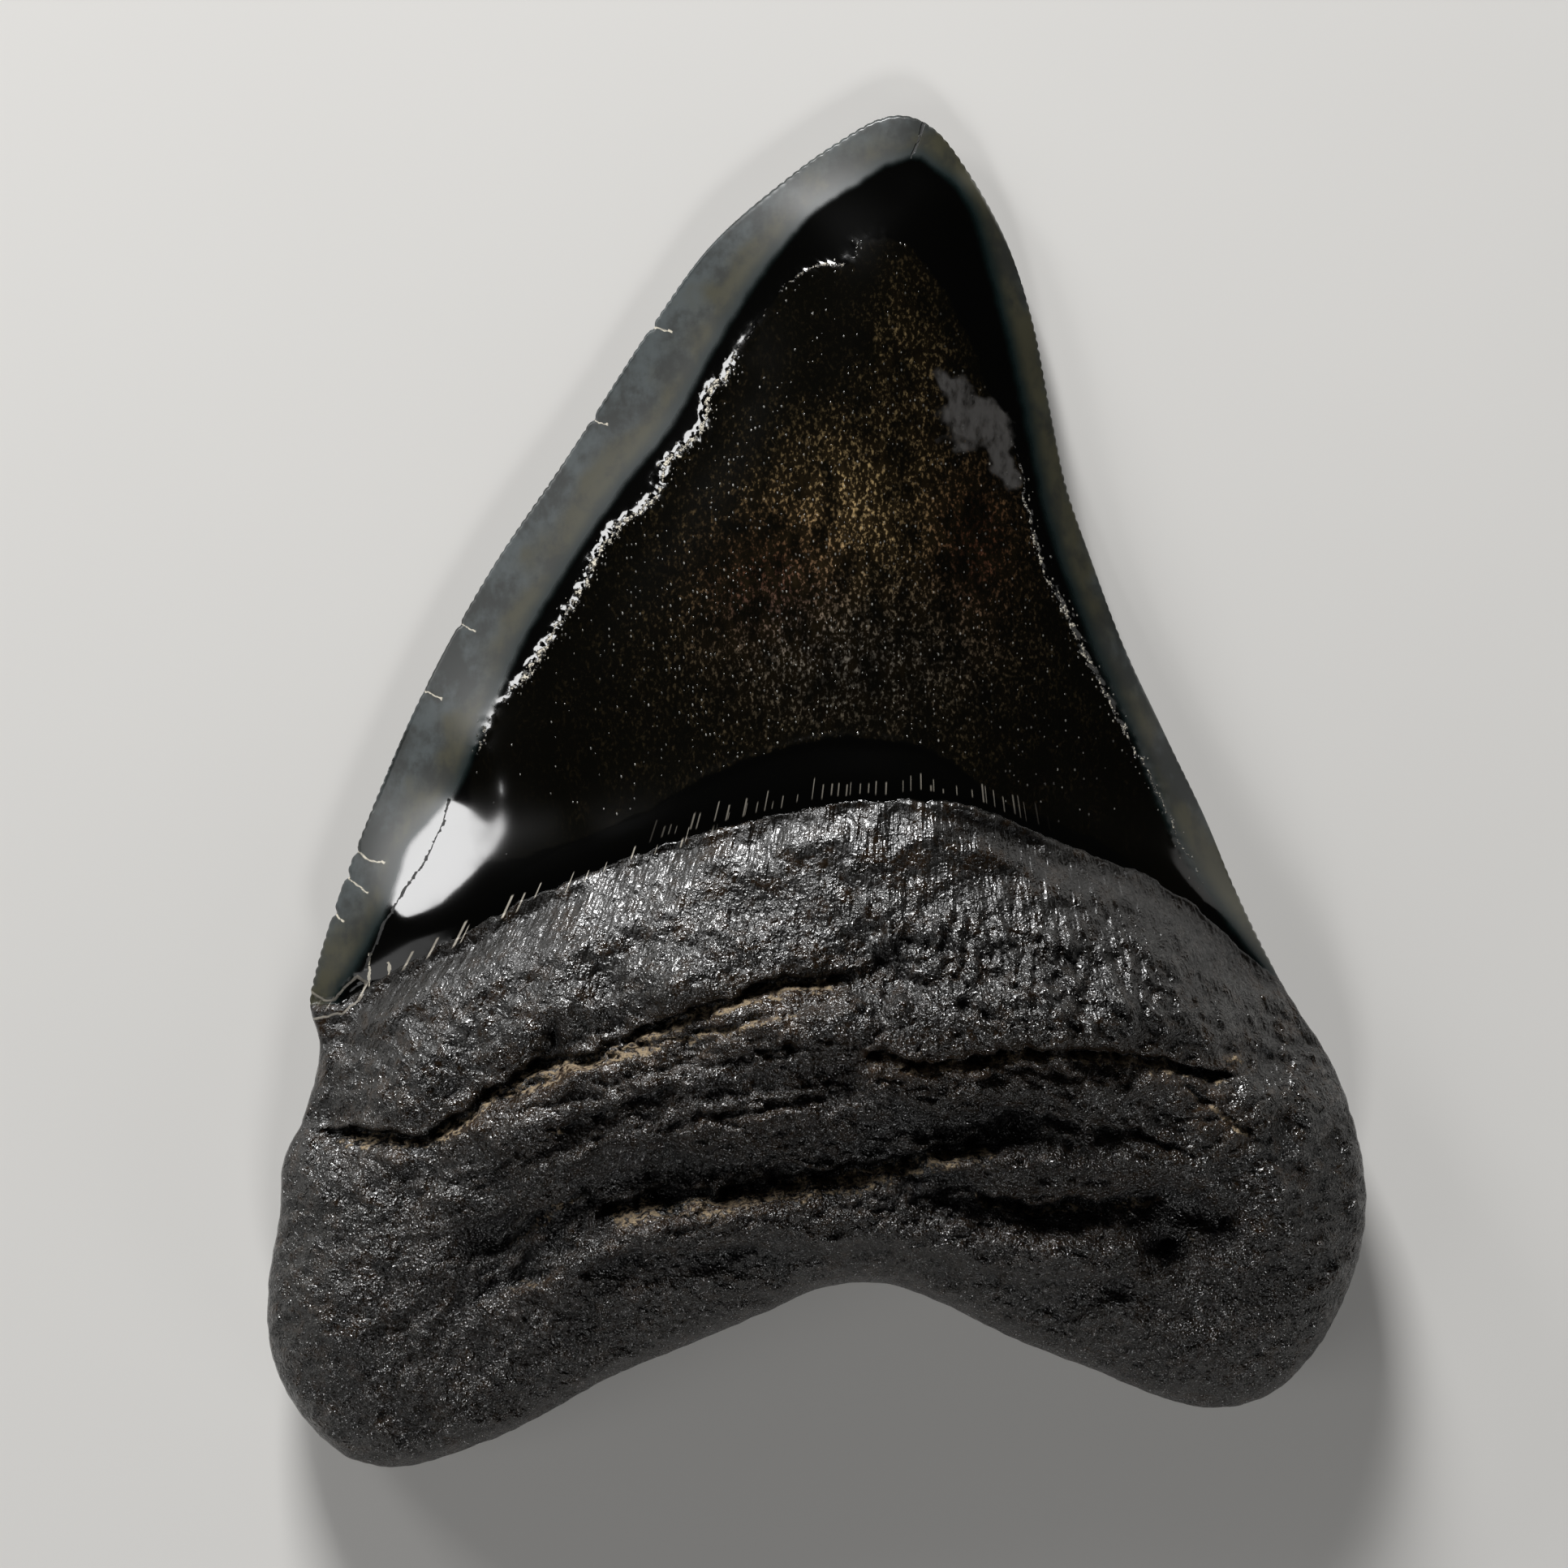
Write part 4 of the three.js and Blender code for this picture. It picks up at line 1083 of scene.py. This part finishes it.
def border_material(tones, enamel, crust):
    """The strip where the crown meets the root: both finishes, the tick cracks and a chip."""
    material, tree = new_material("crown_border")
    crown = place_group(tree, enamel, enamel_colours(tones))
    root = place_group(tree, crust, crust_colours(tones))
    distance = zone(tree, "root")
    on_root = ramp(distance, -0.08, 0.08)
    colour, rough = cover(on_root, crown[0], crown[1], root[0], root[1])
    height = blend(on_root, crown[2], root[2], "FLOAT") + on_root * 0.1
    across = fan_across(tree)
    left = ticks(across, distance, 0.8, 0.08, 0.8, 0.7, 0.85) * between(across, -44.0, -22.0, 4.0)
    right = ticks(across + 31.7, distance + 0.9, 1.3, 0.085, 1.3, 0.2, 0.8) * between(across, -26.0, 8.0, 6.0)
    chip = between(zone(tree, "chip"), -0.16, 0.04, 0.08)
    marks = left.maths("MAXIMUM", right * 0.38).maths("MAXIMUM", chip * 0.5)
    colour, rough = cover(marks, colour, rough, (*tones.tick, 1.0), CRACK_ROUGHNESS)
    finish_shader(tree, colour, rough, height, ENAMEL_IOR)
    return material


def zone_slots(faces, zones):
    """Which material each triangle has: 0 the crown's, 1 the border's, 2 the root's."""
    root = zones["root"][np.array(faces)]
    slots = np.ones(len(faces), np.int32)
    slots[root.max(axis=1) < BORDER_STRIP[0]] = 0
    slots[root.min(axis=1) > BORDER_STRIP[1]] = 2
    return slots


def floor_material(tone):
    """Pale matt card with a faint unevenness."""
    material, tree = new_material("pale_floor")
    shader = tree.nodes["Principled BSDF"]
    dim = [0.96 * part for part in tone]
    cloud = noise_at(place_mm(tree), 0.02, 3.0)
    blend(cloud, (*dim, 1.0), (*tone, 1.0)).feed(shader.inputs["Base Color"])
    shader.inputs["Roughness"].default_value = FLOOR_ROUGHNESS
    return material


# Settings that a user would change

def number(label, description, value, low, high, **more):
    return bpy.props.FloatProperty(
        name=label, description=description, default=value, min=low, max=high, **more)


def tone(label, description, value):
    return bpy.props.FloatVectorProperty(
        name=label, description=description, default=value, size=3, min=0.0, max=1.0, subtype="COLOR")


class ToothSizes(bpy.types.PropertyGroup):
    spacing: number("Mesh spacing", "Distance between points of the upper face, in mm", 0.29, 0.2, 2.0)
    rim_points: bpy.props.IntProperty(
        name="Rim points", description="Points along the rim", default=2300, min=200)
    notch_pitch: number("Notch pitch", "Distance between the edge's notches, in mm", 0.85, 0.3, 3.0)
    notch_depth: number("Notch depth", "Depth of the edge's notches, in mm", 0.16, 0.0, 1.0)
    ledge_depth: number("Ledge depth", "How deep the root's ledges are", 1.0, 0.0, 2.0, subtype="FACTOR")
    root_lumps: number("Root lumps", "Strength of the root's relief", 1.0, 0.0, 2.0, subtype="FACTOR")


class ToothTones(bpy.types.PropertyGroup):
    # Partly a painted reflection: the band's cool grey and its clouds stand in for the softboxes' reflection
    band_cool_reflection: tone("Band, outer", "Cool grey of the band along the cutting edge", (0.043, 0.051, 0.052))
    band_grey: tone("Band, grey", "Grey clouds of the band", (0.014, 0.015, 0.0133))
    band_olive: tone("Band, inner", "Olive inner half of the band", (0.036, 0.0345, 0.021))
    band_teal: tone("Band, border", "Dark teal where the band ends", (0.003, 0.008, 0.008))
    black: tone("Polished black", "Polished strip and collar", (0.0006, 0.0006, 0.0005))
    plate_dark: tone("Plate, dark", "Dark ground of the worn plate", (0.001, 0.0009, 0.0005))
    # Partly a painted sheen: this brown is laid on most thickly in the plate's middle
    plate_brown_and_sheen: tone("Plate, brown", "Brown clouds of the worn plate", (0.02, 0.013, 0.0055))
    fleck_gold: tone("Flecks, gold", "Gold flecks of the worn plate", (0.3, 0.215, 0.1))
    fleck_red: tone("Flecks, brown", "Reddish brown flecks of the worn plate", (0.16, 0.06, 0.03))
    fleck_white: tone("Flecks, whitish", "Whitish flecks of the worn plate", (0.34, 0.33, 0.3))
    smudge: tone("Smudge", "Grey smudge near the right edge", (0.038, 0.036, 0.034))
    crumb_white: tone("Crumbs, pale", "Pale crumbs along the plate's border", (0.44, 0.405, 0.33))
    tick: tone("Ticks", "Pale short cracks", (0.34, 0.31, 0.26))
    root_dark: tone("Root, dark", "Dark crust of the root", (0.0022, 0.0019, 0.0015))
    root_grey: tone("Root, grey", "Grey crust of the root", (0.0105, 0.0098, 0.0088))
    root_brown: tone("Root, brown", "Brown crust of the lobes", (0.0095, 0.0055, 0.0024))
    root_pale: tone("Root, peaks", "Pale peaks of the crust", (0.034, 0.0315, 0.0275))
    # Painted shade: this dark is laid into the crust's hollows and creases; it also darkens the lobes and a
    # patch on the right
    root_shade_dark: tone("Root, shade and dark", "Painted shade of the hollows and dark of the lobes", (0.0024, 0.0019, 0.0014))
    silt_tan: tone("Sediment, tan", "Tan sediment in the furrows", (0.2, 0.148, 0.085))
    silt_rust: tone("Sediment, rust", "Rusty stains and sediment", (0.045, 0.024, 0.01))


class StageSettings(bpy.types.PropertyGroup):
    camera_height: number("Camera height", "Height over the floor", 0.69, 0.1, 10.0, unit="LENGTH")
    lens: number("Focal length", "Focal length of the camera, in mm", 180.0, 20.0, 1000.0)
    floor_size: number("Floor size", "Side of the square floor", 5.0, 0.5, 50.0, unit="LENGTH")
    floor_tone: tone("Floor", "Colour of the pale floor", (0.62, 0.61, 0.59))
    light_distance: number("Light distance", "From the tooth to the softboxes", 0.9, 0.2, 10.0, unit="LENGTH")
    ambient: number("Room light", "Strength of the even light around", 0.014, 0.0, 10.0)


# Operators

class TOOTH_OT_build(bpy.types.Operator):
    """Build the fossil tooth with its fine relief and finish"""
    bl_idname = "fossil.tooth_build"
    bl_label = "Fossil tooth"

    def execute(self, context):
        scene = context.scene
        places, faces, zones = tooth_mesh(scene.tooth_sizes)
        mesh = bpy.data.meshes.new("fossil_tooth")
        mesh.from_pydata((places * MM).tolist(), [], faces)
        for name, values in zones.items():
            mesh.attributes.new(name, "FLOAT", "POINT").data.foreach_set("value", values.astype(np.float32))
        tones = scene.tooth_tones
        crust = crust_group(crust_colours(tones))
        enamel = enamel_group(enamel_colours(tones))
        mesh.materials.append(even_material("crown_enamel", enamel, enamel_colours(tones), ENAMEL_IOR))
        mesh.materials.append(border_material(tones, enamel, crust))
        mesh.materials.append(even_material("root_crust", crust, crust_colours(tones), CRUST_IOR))
        mesh.polygons.foreach_set("material_index", zone_slots(faces, zones))
        mesh.shade_smooth()
        mesh.update()
        if mesh.validate():
            raise RuntimeError("the tooth's mesh had broken faces")
        tooth = bpy.data.objects.new("fossil_tooth", mesh)
        context.collection.objects.link(tooth)
        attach(tooth, "root")
        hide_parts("tooth")
        return {"FINISHED"}


class TOOTH_OT_stage(bpy.types.Operator):
    """Set the floor, the lights and the camera over the tooth"""
    bl_idname = "fossil.stage_build"
    bl_label = "Stage"

    def execute(self, context):
        stage = context.scene.tooth_stage
        self.floor(context, stage)
        self.lights(context, stage)
        self.room(context, stage)
        self.camera(context, stage)
        return {"FINISHED"}

    def floor(self, context, stage):
        half = stage.floor_size / 2
        mesh = bpy.data.meshes.new("floor")
        corners = [(-half, -half, 0), (half, -half, 0), (half, half, 0), (-half, half, 0)]
        mesh.from_pydata(corners, [], [(0, 1, 2, 3)])
        mesh.materials.append(floor_material(stage.floor_tone))
        floor = bpy.data.objects.new("floor", mesh)
        context.collection.objects.link(floor)

    def lights(self, context, stage):
        for box in SOFTBOXES:
            light = bpy.data.lights.new(box.name, "AREA")
            light.shape = "SQUARE"
            light.size = box.side
            light.energy = box.power
            angle = math.radians(box.angle)
            bearing = math.radians(box.bearing)
            aside = math.sin(angle)
            towards = Vector((aside * math.cos(bearing), aside * math.sin(bearing), math.cos(angle)))
            lamp = bpy.data.objects.new(box.name, light)
            lamp.location = towards * stage.light_distance
            lamp.rotation_euler = towards.to_track_quat("Z", "Y").to_euler()
            context.collection.objects.link(lamp)

    def room(self, context, stage):
        world = bpy.data.worlds.new("studio")
        world.use_nodes = True
        tree = world.node_tree
        background = tree.nodes["Background"]
        seen = value_from(tree, "ShaderNodeLightPath", None, "Is Camera Ray")
        blend(seen, stage.ambient, SEEN_ROOM_LIGHT, "FLOAT").feed(background.inputs["Strength"])
        background.inputs["Color"].default_value = ROOM_TINT
        context.scene.world = world
        context.scene.view_settings.view_transform = "Standard"

    def camera(self, context, stage):
        data = bpy.data.cameras.new("camera")
        data.lens = stage.lens
        data.sensor_width = SENSOR_WIDTH
        data.clip_start = 0.01
        camera = bpy.data.objects.new("camera", data)
        camera.location = (*CAMERA_PLACE, stage.camera_height)
        context.collection.objects.link(camera)
        context.scene.camera = camera


class TOOTH_PT_panel(bpy.types.Panel):
    """Builders of the fossil tooth, in the sidebar"""
    bl_label = "Fossil tooth"
    bl_space_type = "VIEW_3D"
    bl_region_type = "UI"
    bl_category = "Fossil tooth"

    def draw(self, context):
        layout = self.layout
        scene = context.scene
        for group in (scene.tooth_sizes, scene.tooth_tones, scene.tooth_stage):
            box = layout.box()
            for key in group.__annotations__:
                box.prop(group, key)
        layout.operator(TOOTH_OT_build.bl_idname)
        layout.operator(TOOTH_OT_stage.bl_idname)


CLASSES = (ToothSizes, ToothTones, StageSettings, TOOTH_OT_build, TOOTH_OT_stage, TOOTH_PT_panel)


def register():
    for cls in CLASSES:
        bpy.utils.register_class(cls)
    bpy.types.Scene.tooth_sizes = bpy.props.PointerProperty(type=ToothSizes)
    bpy.types.Scene.tooth_tones = bpy.props.PointerProperty(type=ToothTones)
    bpy.types.Scene.tooth_stage = bpy.props.PointerProperty(type=StageSettings)


def unregister():
    for name in ("tooth_sizes", "tooth_tones", "tooth_stage"):
        delattr(bpy.types.Scene, name)
    for cls in reversed(CLASSES):
        bpy.utils.unregister_class(cls)


def main():
    register()
    bpy.ops.fossil.tooth_build()
    bpy.ops.fossil.stage_build()


if __name__ == "__main__":
    main()
